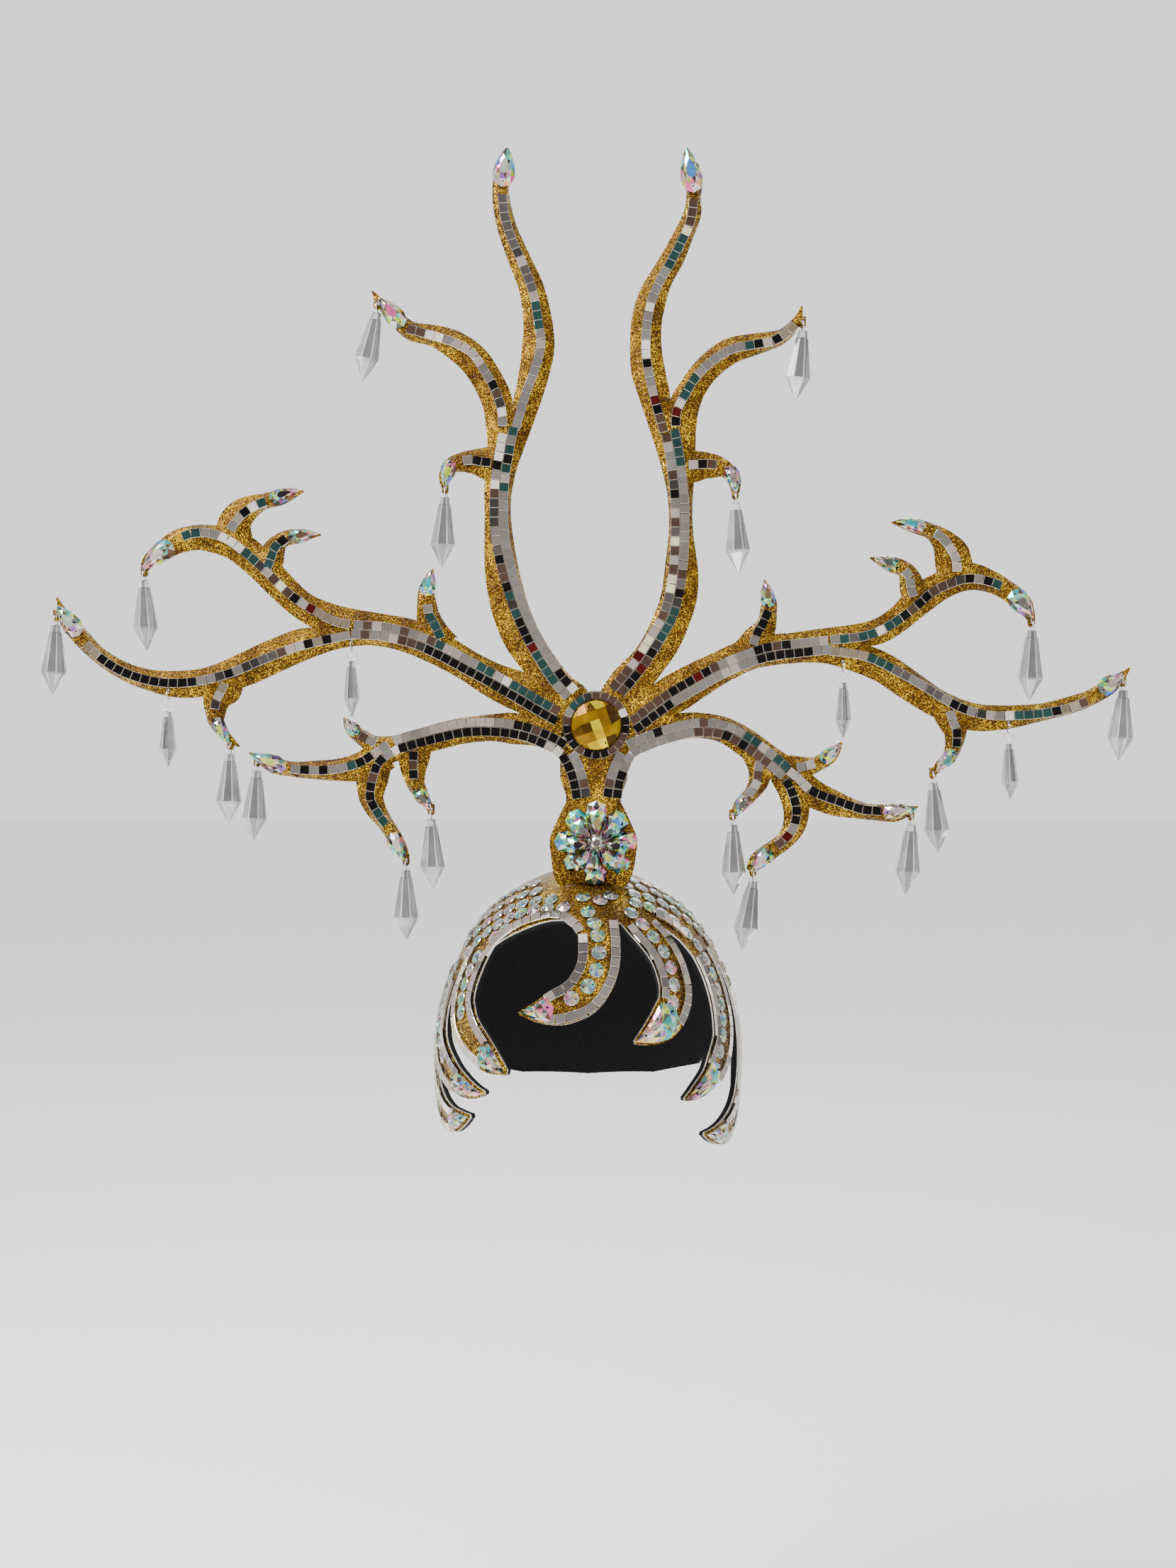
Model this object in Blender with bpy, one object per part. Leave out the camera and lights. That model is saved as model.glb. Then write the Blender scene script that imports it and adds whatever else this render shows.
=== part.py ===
# Carnival crown: a flat-cut antler frame with mirror rows, tip stones and hanging crystal drops,
# standing on a dome-shaped cap whose lower edge is cut into curls.
# Metres, +Z up, the front faces -Y, the photograph's left is -X.
# The origin is the inner top of the cap, where the crown sits on a head.
import math

import bpy
import bmesh
from mathutils import Matrix, Vector
from mathutils.geometry import convex_hull_2d, delaunay_2d_cdt

# Named sizes
FRAME_SPAN = 0.660        # the antler frame from its left tip to its right tip
TREE_RISE = 0.355         # from the middle of the amber stone to the top of the antlers
LIMB_REACH = 0.010        # limb margins are hundredths of this length
HUB_X = 0.005             # the frame stands 5 mm right of the cap's middle
HUB_Z = 0.0933            # height of the amber stone's middle
PLATE_BACK = -0.0475      # back face of the frame plate
PLATE_THICK = 0.005       # thickness of the frame plate
GAP = 0.0003              # glue gap between touching pieces
FOOT_STEP = 0.006         # sides of the plate's foot, which follows the dome

CAP_WIDE = 0.097          # half width of the cap, outside
CAP_DEEP = 0.108          # half length of the cap, outside
CAP_RISE = 0.118          # crown to the widest level
CAP_DROP = 0.170          # lower half-axis below the widest level
CAP_WALL = 0.004          # foam thickness
CAP_TOP = CAP_WALL        # height of the cap's outer top
ARC = 0.170               # length along the surface for one unit of the drop share

TILE = 0.0052             # mirror tile with its joint
TILE_THICK = 0.0015
AMBER_WIDE = 0.030
AMBER_HIGH = 0.0075
TILE_RING = AMBER_WIDE / 2 + 0.0031   # middle of the ring of tiles round the amber stone
FLOWER_WIDE = 0.052
FLOWER_CLEAR = 0.0006     # from the dome at the plate's face up to the lowest petal
ROW_CLEAR = 0.0014        # from the top petal up to the rows of tiles above it
HUB_RADIUS = 0.0215

RING_MEAN = 0.00355       # jump ring, middle of the wire
RING_WIRE = 0.00045       # half the wire
SLOT_WIDE = 0.0018        # hole in the plate for a jump ring
DROP_LONG = 0.043
DROP_SHORT = 0.034
DROP_HALF = 0.0075        # half width of a drop where it is widest
DROP_HALF_DEEP = 0.0046

TRIM_GLUE = 0.0006        # the curls' trim stands this far off the foam
TRIM_EDGE = 0.0009        # foam left bare along a curl's edge
STONE_HIGH = 0.0046       # table of a pear stone above its base
CUT_SCALE = 0.2           # metres in the flat cutting disc for one unit of the drop share

COLOURS = {
    "gold": ((0.62, 0.40, 0.05), 0.45, 0.7),
    "mirror": ((0.62, 0.60, 0.58), 0.12, 0.9),
    "stone": ((0.72, 0.74, 0.68), 0.08, 0.3),
    "amber": ((0.62, 0.38, 0.03), 0.10, 0.2),
    "crystal": ((0.66, 0.68, 0.68), 0.05, 0.1),
}

# The antler frame
# Each limb runs from the hub to its tip. Columns: x in % of FRAME_SPAN, z in % of TREE_RISE
# from the hub, then the plate's reach to the left and right of the travel in % of LIMB_REACH.
LIMBS = {
    "left_antler": (
        (-1.1, 3.5, 60, 55), (-1.6, 5.5, 60, 55), (-3.1, 8, 60, 47), (-5.35, 14, 60, 45), (-6.9, 20, 60, 48),
        (-8.15, 28, 55, 54), (-8.6, 37, 55, 42), (-8.4, 44, 55, 58), (-7.4, 52, 55, 90),
        (-6.2, 59, 80, 97), (-5.25, 65, 112, 88), (-5.4, 70, 92, 87), (-6.1, 76, 74, 80),
        (-7.4, 82, 68, 66), (-8.3, 87, 66, 52), (-8.7, 92, 66, 40), (-8.65, 96.5, 50, 42),
        (-8.2, 100.1, 4, 4)),
    "left_side_branch": (
        (-1.5, 2.6, 60, 30),
        (-2.6, 4.5, 70, 30), (-4.1, 8, 100, 30), (-6.2, 14, 132, 30), (-7.3, 18, 135, 30),
        (-8.3, 22, 113, 40), (-9.1, 28, 88, 40), (-9.5, 36, 60, 40), (-9.35, 42, 72, 40),
        (-8.95, 48, 80, 40), (-8.75, 52, 102, 60), (-9.05, 56, 104, 85), (-10, 60, 102, 85),
        (-11.3, 63.8, 108, 80), (-13.2, 66, 88, 88), (-15.2, 67.3, 52, 80),
        (-17.3, 68.6, 58, 55), (-18.9, 71, 42, 45), (-20.2, 73.5, 26, 26), (-20.9, 75.4, 4, 4)),
    "left_stub": (
        (-9.3, 45.3, 100, 100), (-10.3, 45.4, 95, 105), (-11.3, 45.7, 75, 82),
        (-12.6, 45.6, 55, 62), (-13.6, 44.9, 42, 50), (-14.1, 43, 35, 40), (-14.15, 41.4, 22, 22)),
    "left_middle": (
        (-1.6, 1, 60, 60), (-2.9, 2.0, 60, 60), (-5, 4, 60, 90), (-7.2, 6.6, 60, 100), (-9.4, 9, 60, 64),
        (-11.7, 11, 60, 68), (-13.9, 13, 60, 85), (-16.7, 15.6, 60, 90), (-20, 17, 60, 85),
        (-23, 17.5, 60, 100), (-25.2, 18.7, 90, 95), (-27.4, 21.1, 95, 78),
        (-29.5, 24.5, 95, 84), (-31.6, 28.2, 92, 100), (-33.8, 31.6, 100, 90),
        (-36.5, 33.3, 105, 55), (-38.7, 32.3, 80, 70), (-40.3, 30.6, 62, 60),
        (-41.7, 28.5, 35, 45), (-42.25, 26.8, 18, 20)),
    "left_outer": (
        (-2.3, -0.6, 50, 50), (-3.9, 0.6, 60, 50), (-6, 3, 60, 50), (-8.2, 5.6, 84, 50), (-10.3, 7.9, 85, 50),
        (-12.5, 9.8, 60, 50), (-15, 12.4, 65, 50), (-18, 14.5, 58, 50), (-21, 15.6, 60, 60),
        (-24, 15.2, 65, 60), (-27, 13.9, 82, 110), (-30, 12, 100, 108), (-33, 9.8, 110, 95),
        (-36, 7.9, 95, 82), (-39, 7.2, 85, 80), (-42, 7.9, 60, 68), (-44.5, 9.7, 50, 58),
        (-46.6, 12.5, 50, 48), (-48.3, 15.8, 55, 50), (-49.5, 18.5, 35, 35), (-50.35, 22.2, 4, 4)),
    "left_horn_outer": (
        (-34.1, 32.2, 90, 100), (-33.8, 34.3, 110, 120), (-33.1, 36.2, 108, 80),
        (-31.9, 37.7, 88, 45), (-30.9, 38.7, 58, 38), (-29.3, 39.6, 45, 42), (-27.3, 40.7, 4, 4)),
    "left_horn_inner": (
        (-30.8, 27.2, 90, 90), (-30.3, 29, 80, 78), (-29.9, 30.5, 78, 60),
        (-29.2, 31.9, 62, 35), (-28, 32.8, 45, 40), (-25.7, 33.1, 4, 4)),
    "left_spike": (
        (-14.4, 14.5, 100, 100), (-14.8, 16.7, 110, 60), (-15.4, 19, 93, 52),
        (-15.7, 21.3, 68, 52), (-15.85, 24, 42, 42), (-15.2, 27.2, 4, 4)),
    "left_hook_down": (
        (-34.4, 7.6, 100, 100), (-34.8, 6, 105, 110), (-35.3, 4.2, 72, 95),
        (-35.5, 2.3, 58, 68), (-35.4, 0.3, 45, 45), (-34.6, -1.8, 30, 32), (-33.3, -3.7, 4, 4)),
    "left_lower": (
        (-3.4, -3, 60, 60), (-5.3, -1.2, 90, 80), (-7.6, 0.1, 120, 75), (-10, 0.3, 107, 57),
        (-13, 0.1, 122, 38), (-15.5, -1, 125, 35), (-18, -2.3, 120, 32), (-20, -4, 110, 60),
        (-21.9, -6.4, 115, 65), (-24, -7.5, 78, 62), (-26.5, -7.8, 53, 58),
        (-28.5, -7.5, 50, 45), (-30.3, -6.7, 50, 45), (-32.4, -4.7, 4, 4)),
    "left_up_hook": (
        (-19.3, -3.3, 70, 50), (-20.6, -3, 75, 42), (-21.5, -2.2, 60, 40),
        (-22.6, -0.9, 45, 36), (-23.2, 0.2, 28, 24), (-23.55, 1.3, 4, 4)),
    "left_hook_outer": (
        (-19.6, -5.2, 90, 90), (-20.4, -6.6, 90, 110), (-20.8, -9.5, 90, 108),
        (-21, -12.3, 75, 78), (-20.5, -14.6, 60, 65), (-19.6, -16.8, 40, 55),
        (-18.8, -19.5, 46, 46), (-18.1, -21.8, 36, 34), (-17.7, -23.4, 20, 20)),
    "left_hook_inner": (
        (-17, -3.2, 110, 100), (-17, -5.4, 100, 100), (-17, -8, 72, 80),
        (-16.9, -10.2, 60, 52), (-16.2, -12.3, 40, 40), (-15.45, -14.6, 20, 20)),
    "right_antler": (
        (0.9, 3.5, 60, 60), (1.3, 5.5, 60, 60), (2.5, 8, 75, 60), (4.2, 12, 55, 60), (5.2, 15.3, 47, 60),
        (6.2, 19, 50, 60), (6.9, 23, 52, 50), (7.3, 28, 55, 50), (7.4, 34, 40, 50),
        (7.35, 39, 40, 50), (7.1, 43.5, 52, 50), (6.6, 48, 63, 50), (6.1, 52, 75, 60),
        (5.4, 57, 88, 100), (4.85, 61.5, 103, 105), (4.6, 66, 95, 98), (4.8, 70.5, 97, 90),
        (5.35, 74.3, 93, 84), (6.25, 77.5, 88, 61), (7.4, 81.5, 78, 62), (8.4, 85.2, 75, 47),
        (9.0, 88.7, 57, 53), (9.15, 92, 48, 44), (9.05, 95.5, 50, 52), (8.35, 100.2, 4, 4)),
    "right_side_branch": (
        (1.3, 2.6, 40, 60),
        (2.3, 4.5, 40, 60), (3.5, 8, 40, 110), (4.6, 10.5, 40, 112), (5.95, 14.5, 40, 122),
        (7.0, 18, 40, 112), (7.75, 22.5, 40, 112), (8.05, 27, 40, 98), (8.15, 33, 40, 62),
        (8.2, 38, 40, 52), (8.05, 43, 40, 75), (7.65, 48, 40, 110), (7.4, 52, 60, 130),
        (7.8, 55.5, 70, 122), (8.9, 59.2, 65, 102), (10.4, 62.3, 74, 88), (12.4, 64.9, 80, 80),
        (14.5, 65.8, 77, 58), (16.4, 66.5, 68, 40), (17.6, 67.7, 48, 38), (18.5, 69.6, 32, 34),
        (19.0, 71.2, 18, 20), (19.2, 72.8, 4, 4)),
    "right_stub": (
        (8.3, 45, 100, 100), (9.3, 45.1, 92, 100), (10.3, 45.2, 80, 82), (11.3, 45, 66, 72),
        (12.2, 44.2, 52, 45), (12.9, 42.6, 42, 42), (13.05, 40.4, 22, 22)),
    "right_middle": (
        (1.6, -0.2, 60, 60), (2.9, 0.8, 60, 60), (5.1, 3.6, 90, 50), (7.2, 5.9, 105, 50), (9.4, 8.3, 97, 50),
        (11.6, 10.6, 83, 50), (13.6, 12.1, 90, 50), (15.7, 13.3, 85, 50), (18.3, 14.1, 70, 50),
        (21, 14.6, 78, 50), (24.4, 15.2, 86, 60), (26.5, 16.3, 85, 75), (28.4, 18.6, 85, 78),
        (30.5, 21.7, 110, 78), (32.8, 24.3, 100, 70), (34.9, 25.4, 100, 67),
        (36.8, 24.8, 76, 60), (38.4, 23.4, 62, 58), (39.8, 21.3, 58, 56), (40.5, 19.3, 32, 35),
        (40.7, 18.0, 20, 20)),
    "right_outer": (
        (2.2, -2.2, 50, 50), (3.7, -1, 50, 50), (5.9, 2.2, 50, 60), (8, 5.2, 50, 88), (10, 7, 50, 65),
        (12.4, 9.4, 50, 55), (15, 11.25, 50, 47), (18.5, 12.4, 50, 56), (21.5, 12.8, 60, 73),
        (24.5, 12.1, 75, 103), (27, 10.4, 75, 112), (29.7, 7.5, 60, 125), (32.4, 4.4, 52, 120),
        (35.3, 2.1, 62, 108), (38.4, 1.7, 63, 82), (41.7, 2.1, 62, 46), (44.4, 3.2, 68, 39),
        (46.2, 4.5, 60, 38), (47.9, 6.7, 50, 48), (49, 8.4, 28, 28), (49.85, 10, 4, 4)),
    "right_horn_outer": (
        (33.7, 25.6, 110, 110), (33.5, 27.5, 115, 112), (33.1, 30, 105, 110),
        (32.4, 32.1, 75, 74), (31.2, 33.7, 45, 50), (29.6, 34.7, 42, 42), (27.6, 35.3, 4, 4)),
    "right_horn_inner": (
        (30, 21.4, 90, 90), (29.4, 23.4, 66, 85), (29.2, 25.2, 58, 80),
        (28.7, 26.9, 40, 60), (27.4, 28.1, 45, 45), (25.6, 29.1, 4, 4)),
    "right_spike": (
        (14.5, 13.6, 100, 100), (14.9, 15.6, 70, 110), (15.5, 17.6, 36, 92),
        (15.95, 19.6, 42, 64), (16.15, 22, 42, 42), (15.7, 25.3, 4, 4)),
    "right_hook_down": (
        (32.9, 2.8, 110, 100), (33.2, 0.9, 110, 90), (33.5, -1.2, 75, 65),
        (33.5, -3.2, 50, 58), (33, -5.4, 42, 42), (32.1, -7, 30, 30), (31.5, -8.2, 20, 20)),
    "right_lower": (
        (3, -4.2, 60, 60), (4.6, -1.9, 80, 80), (6.6, -0.4, 80, 92), (9.4, 0.4, 66, 92),
        (12, -0.3, 62, 98), (14.3, -2.3, 55, 120), (16.4, -5.2, 55, 120), (18.3, -8.4, 80, 110),
        (20.1, -11.4, 80, 95), (22.4, -13.2, 63, 90), (24.8, -14.5, 42, 62),
        (26.4, -14.9, 42, 58), (28.2, -15.2, 48, 50), (30.05, -14.1, 4, 4)),
    "right_up_hook": (
        (18.3, -7.6, 90, 60), (19.5, -7.1, 60, 70), (20.6, -6.6, 45, 52),
        (21.8, -5.4, 40, 45), (22.5, -4, 26, 28), (22.95, -2.9, 4, 4)),
    "right_hook_outer": (
        (17.6, -8.6, 110, 90), (18.2, -11.4, 110, 78), (18.6, -14.4, 88, 74),
        (18.3, -17.3, 84, 56), (17.5, -19.6, 70, 38), (16.3, -21.5, 62, 45),
        (15.1, -23.5, 55, 52), (14.35, -25.3, 24, 24)),
    "right_hook_inner": (
        (15.2, -5.4, 110, 110), (15.1, -7.8, 90, 58), (15, -9.8, 72, 52),
        (14.4, -11.8, 52, 40), (13.5, -13.8, 42, 42), (12.85, -15.5, 20, 20)),
    "neck_and_lobe": (
        (-0.1, -3, 210, 210), (-0.2, -9, 205, 208), (-0.25, -12.7, 168, 168),
        (-0.25, -15.5, 208, 208), (-0.25, -19.5, 268, 268), (-0.25, -22.5, 262, 262),
        (-0.3, -25.4, 246, 248), (-0.3, -27.2, 222, 224), (-0.3, -28.8, 190, 192),
        (-0.3, -34, 180, 182)),
}

# Mirror rows. Each has its width in tiles first: the trunk rows lie two side by side.
# Columns: x and z in % as above.
ROWS = {
    "left_antler_top": (1, ((-7.8, 49.5), (-7.3, 52.5), (-6.6, 57), (-5.6, 62), (-5.15, 66), (-5.4, 70),
                            (-5.9, 75), (-6.9, 80), (-7.85, 84), (-8.5, 88), (-8.75, 92))),
    "left_branch_top": (1, ((-8.7, 50), (-8.75, 54), (-9.35, 57.8), (-10.3, 61), (-11.5, 64.2),
                            (-13.2, 66.1), (-15.2, 67.3), (-17.4, 68.4))),
    "left_trunk": (2, (None, (-2.3, 5.4), (-3.55, 8), (-4.75, 11.3), (-5.9, 15), (-6.9, 19),
                       (-7.7, 23), (-8.45, 28), (-8.95, 33), (-9.05, 38), (-8.9, 43),
                       (-8.55, 47), (-8.15, 51))),
    "left_stub": (1, ((-8.9, 45.3), (-10.5, 45.5), (-11.6, 45.8), (-12.9, 45.5))),
    "left_middle_far": (1, ((-22, 17.2), (-24, 17.8), (-26, 19.6), (-27.6, 21.4), (-28.9, 23.3),
                            (-30.2, 25.7), (-31.6, 28.2), (-33, 30.4), (-34.4, 32.2),
                            (-36, 33.2), (-37.6, 33.1), (-38.8, 32.2))),
    "left_outer_far": (1, ((-22, 15.9), (-25, 14.8), (-28, 13.4), (-31, 11.3), (-34, 9),
                           (-37, 7.6), (-40, 7.3), (-42.5, 8.2), (-44.6, 9.8), (-46.3, 12),
                           (-47.7, 14.5))),
    "left_pair": (2, (None, (-3.4, 1.3), (-5, 3), (-7.2, 5.4), (-9.5, 7.9), (-12, 10.4), (-14.5, 12.9),
                      (-17, 14.9), (-20, 16.2), (-23, 16.5))),
    "left_horn_outer": (1, ((-34.4, 32.2), (-33.7, 34.6), (-32.9, 36.4), (-31.9, 37.7),
                            (-30.8, 38.6))),
    "left_horn_inner": (1, ((-30.6, 27), (-30.2, 29), (-29.8, 30.8), (-29.1, 31.9))),
    "left_spike": (1, ((-14.1, 13.4), (-14.9, 17), (-15.5, 19), (-15.75, 21.6))),
    "left_hook_down": (1, ((-34.1, 8.7), (-34.8, 6.2), (-35.3, 4.2), (-35.5, 2.1))),
    "left_lower_pair": (2, ((-1.35, None), (-1.6, -10), (-2.15, -6.9), (-3.05, -4.3), (-4.6, -2.6),
                            (-6.5, -1.2), (-9, -0.4), (-12, -0.4), (-14.5, -1.3),
                            (-17, -2.5), (-18.6, -3.4))),
    "left_lower_far": (1, ((-17.6, -2.6), (-19.3, -3.4), (-20.7, -5), (-22, -6.5), (-24, -7.5),
                           (-26, -7.8), (-28.2, -7.6))),
    "left_up_hook": (1, ((-19.6, -3.6), (-20.6, -3), (-21.7, -2))),
    "left_hook_outer": (1, ((-18.2, -3.9), (-20, -6), (-20.7, -8.8), (-21, -12.4),
                            (-20.3, -15.2), (-19.3, -17.7))),
    "left_hook_inner": (1, ((-16.9, -2.8), (-17, -7), (-16.9, -10.1))),
    "right_antler_top": (1, ((6.5, 49), (6.25, 51), (5.6, 55.2), (5, 60), (4.65, 64), (4.7, 69),
                             (5.1, 73), (5.9, 76.6), (7, 80.2), (8, 83.8), (8.75, 87),
                             (9.1, 91))),
    "right_branch_top": (1, ((7.45, 50), (7.45, 53.8), (8.2, 56.9), (9.3, 60.2), (10.6, 62.6),
                             (12.4, 64.8), (14.5, 65.7), (16.4, 66.4), (17.7, 67.8),
                             (18.4, 69))),
    "right_trunk": (2, (None, (1.7, 5.5), (2.9, 8), (4.25, 11.3), (5.6, 15.3), (6.7, 19), (7.35, 23.5),
                        (7.7, 29), (7.8, 35), (7.75, 39.5), (7.5, 44), (7.15, 48), (6.85, 51))),
    "right_stub": (1, ((7.7, 44.9), (9.7, 45.1), (10.7, 45.1), (11.7, 44.8))),
    "right_middle_far": (1, ((20, 14.4), (23, 14.9), (25.2, 15.5), (26.9, 16.8), (28.4, 18.6),
                             (29.8, 20.6), (31.2, 22.9), (32.8, 24.4), (34.6, 25.3),
                             (36.4, 24.9), (38, 23.8))),
    "right_outer_far": (1, ((20, 12.9), (23, 12.6), (25.5, 11.6), (28, 9.3), (30.4, 6.8),
                            (32.4, 4.5), (34.5, 2.6), (36.8, 1.7), (39.3, 1.7), (41.7, 2.1),
                            (44, 3), (46.1, 4.5))),
    "right_pair": (2, (None, (3.1, -0.4), (3.9, 0.5), (5.3, 2.5), (6.9, 4.6), (9, 6.9), (11.2, 9.2),
                       (13.5, 11.1),
                       (16, 12.6), (18.8, 13.3), (21.5, 13.8))),
    "right_horn_outer": (1, ((33.5, 24.9), (33.5, 28), (33.1, 30), (32.3, 32.1), (31.2, 33.6))),
    "right_horn_inner": (1, ((29.8, 20.7), (29.3, 23.6), (29.1, 25.6), (28.5, 27.1))),
    "right_spike": (1, ((14.3, 12.3), (15, 16), (15.5, 17.6), (15.95, 19.6))),
    "right_hook_down": (1, ((32.7, 4.1), (33.1, 1.2), (33.5, -1), (33.5, -3.4))),
    "right_lower_pair": (2, ((1.5, None), (1.7, -10), (2.3, -6.8), (3.1, -4.3), (4.7, -2.8),
                             (6.9, -1.4), (9.4, -0.4), (12, -0.9), (14.2, -3.1),
                             (16.2, -5.9), (17.6, -8.2))),
    "right_lower_far": (1, ((17.2, -6.8), (18.6, -8.9), (20.1, -11.4), (22.4, -13.1),
                            (24.6, -14.5), (26.1, -14.8))),
    "right_up_hook": (1, ((17.8, -7.8), (19.2, -7.2), (20.4, -6.6))),
    "right_hook_outer": (1, ((17, -8.2), (18, -10.8), (18.6, -14.4), (18.4, -17.3), (17.6, -19.6),
                             (16.6, -21))),
    "right_hook_inner": (1, ((15.3, -4.6), (15.1, -7.8), (14.9, -10), (14.3, -11.8))),
}

# The side branches are pieces of their own, butted against the middle piece along these seams.
# Columns: x and z in % of the seam's top, then of its foot. Both ends lie in open air.
SEAMS = ((-8.3, 11.6, -4.6, -7.5), (7.2, 10.4, 4.7, -7.5))

# Tip stones. Columns: x and z of the round end, x and z of the point, all in %, width in mm.
TIP_STONES = {
    "tip_stone_left_01": (-8.75, 93.0, -8.25, 99.9, 15.0),
    "tip_stone_left_02": (-17.9, 68.9, -20.3, 74.0, 13.0),
    "tip_stone_left_03": (-13.5, 45.9, -14.1, 41.1, 10.5),
    "tip_stone_left_04": (-15.85, 22.3, -15.25, 27.0, 10.5),
    "tip_stone_left_05": (-39.4, 31.5, -42.2, 27.0, 14.0),
    "tip_stone_left_06": (-30.4, 39.0, -27.5, 40.7, 10.0),
    "tip_stone_left_07": (-28.7, 32.4, -25.8, 33.1, 10.0),
    "tip_stone_left_08": (-48.0, 15.5, -50.1, 20.6, 13.0),
    "tip_stone_left_09": (-35.5, 1.3, -34.15, -3.2, 9.5),
    "tip_stone_left_10": (-28.8, -7.5, -32.1, -5.0, 11.5),
    "tip_stone_left_11": (-22.1, -1.6, -23.4, 1.1, 9.0),
    "tip_stone_left_12": (-16.75, -11.0, -15.4, -14.6, 9.5),
    "tip_stone_left_13": (-19.1, -18.6, -17.75, -23.3, 11.5),
    "tip_stone_right_01": (9.1, 92.0, 8.4, 99.9, 14.6),
    "tip_stone_right_02": (12.4, 44.8, 13.05, 40.3, 10.5),
    "tip_stone_right_03": (16.1, 20.3, 15.7, 25.1, 10.0),
    "tip_stone_right_04": (38.6, 23.2, 40.65, 18.4, 14.0),
    "tip_stone_right_05": (30.7, 34.1, 27.8, 35.3, 9.5),
    "tip_stone_right_06": (28.2, 27.4, 25.8, 28.9, 10.0),
    "tip_stone_right_07": (46.8, 5.7, 49.1, 9.0, 12.5),
    "tip_stone_right_08": (33.4, -4.3, 31.6, -8.1, 9.5),
    "tip_stone_right_09": (26.6, -15.2, 29.8, -14.4, 10.5),
    "tip_stone_right_10": (20.9, -6.3, 22.75, -3.3, 9.5),
    "tip_stone_right_11": (14.1, -12.2, 12.9, -15.5, 10.0),
    "tip_stone_right_12": (16.2, -21.5, 14.35, -25.3, 12.0),
}

# Hanging drops. Columns: x and z of the jump ring's middle in %, the drop's lean in mm over its
# length (plus is to the right), and 1 for a drop seen side-on below a second ring.
DROPS = {
    "drop_left_01": (-50.4, 18.2, -2, 0),
    "drop_left_02": (-42.2, 25.9, 2, 0),
    "drop_left_03": (-39.95, 5.1, 0, 1),
    "drop_left_04": (-34.15, -4.2, -1, 0),
    "drop_left_05": (-31.65, -7.1, -2, 0),
    "drop_left_06": (-22.85, 13.8, 0.5, 1),
    "drop_left_07": (-17.75, -24.3, 0.5, 0),
    "drop_left_08": (-15.4, -15.5, 1.5, 0),
    "drop_left_09": (-14.1, 40.3, -2, 0),
    "drop_left_10": (-20.45, 72.3, -9, 0),
    "drop_right_01": (19.28, 69.15, -4.5, 0),
    "drop_right_02": (13.0, 39.3, 2, 0),
    "drop_right_03": (40.65, 17.2, -1.5, 0),
    "drop_right_04": (49.2, 6.8, -3, 0),
    "drop_right_05": (38.5, -0.5, 1, 1),
    "drop_right_06": (31.45, -9.2, 3, 0),
    "drop_right_07": (29.4, -16.4, -3.5, 0),
    "drop_right_08": (23.05, 10.1, 0, 1),
    "drop_right_09": (12.75, -16.45, 0.5, 0),
    "drop_right_10": (14.65, -26.2, -7, 0),
}

# The cap
# Lower edge of the cap's body. Columns: azimuth in degrees from the front, plus to the right,
# and the drop share: 1 is the widest level.
HAIRLINE = (
    (-180, 1.20), (-150, 1.18), (-127, 1.12), (-113, 1.0), (-107, 0.86), (-103, 0.78),
    (-95, 0.74), (-83, 0.72), (-74, 0.68), (-66, 0.64), (-55, 0.62), (-46, 0.60), (-42, 0.575),
    (-37, 0.55), (-31, 0.525), (-24, 0.50), (-18, 0.487), (-12, 0.485), (-8, 0.50), (0, 0.51),
    (8, 0.51), (15, 0.50), (24, 0.50), (34, 0.51), (40, 0.53), (46, 0.575), (50, 0.63),
    (60, 0.66), (75, 0.68), (88, 0.72), (100, 0.78), (107, 0.86), (113, 1.0), (127, 1.12),
    (150, 1.18), (180, 1.20))

# Curls. Columns: azimuth, drop share, half width in mm. The stone starts at the row named last.
CURLS = {
    "curl_trim_1": (((-53, .55, 12), (-54.5, .62, 12), (-55.5, .69, 12), (-56, .76, 12),
                     (-55, .82, 12), (-52, .87, 12), (-47.5, .91, 10.5), (-42, .943, 9),
                     (-36, .972, 6), (-29.5, .997, 1)), 7),
    "curl_trim_2": (((3.5, .45, 13), (4.5, .52, 13), (4.7, .59, 13), (4.2, .66, 13),
                     (2.2, .72, 13), (-1.5, .77, 12.5), (-6.5, .80, 11), (-12, .817, 9.5),
                     (-18, .83, 6), (-25.5, .837, 1)), 7),
    "curl_trim_3": (((23.5, .46, 12), (27, .52, 12), (31, .58, 12), (33.8, .64, 12),
                     (35, .70, 12), (35, .76, 12), (32.7, .817, 11), (28.5, .86, 10),
                     (23, .893, 6.5), (16.5, .92, 1)), 6),
    "curl_trim_4": (((56, .56, 12.5), (59, .63, 12.5), (60.5, .71, 12.5), (61, .79, 12.5),
                     (60.5, .87, 12.5), (58.5, .94, 11.5), (54, .995, 10.5), (48.5, 1.04, 8),
                     (42, 1.075, 5), (36.5, 1.095, 1)), 6),
    "curl_trim_5": (((86, .66, 12), (87.5, .76, 12), (88, .86, 12), (87.5, .97, 12),
                     (86, 1.07, 12), (81.5, 1.16, 12), (74, 1.22, 11.5), (64, 1.25, 9),
                     (55, 1.25, 5), (48, 1.235, 1)), 7),
    "curl_trim_6": (((-73, .64, 11.5), (-74.5, .73, 11.5), (-75, .82, 11.5), (-74, .90, 11.5),
                     (-70.5, .965, 11), (-65, 1.01, 10.5), (-58, 1.045, 9.5), (-50, 1.07, 7),
                     (-44, 1.078, 4), (-39.5, 1.075, 1)), 6),
    "curl_trim_7": (((-92, .68, 12), (-92.5, .78, 12), (-92, .88, 12), (-90, .98, 12),
                     (-86, 1.07, 12), (-80, 1.14, 12), (-71.5, 1.19, 11), (-62, 1.205, 8.5),
                     (-54, 1.19, 5), (-48, 1.17, 1)), 7),
}


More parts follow.
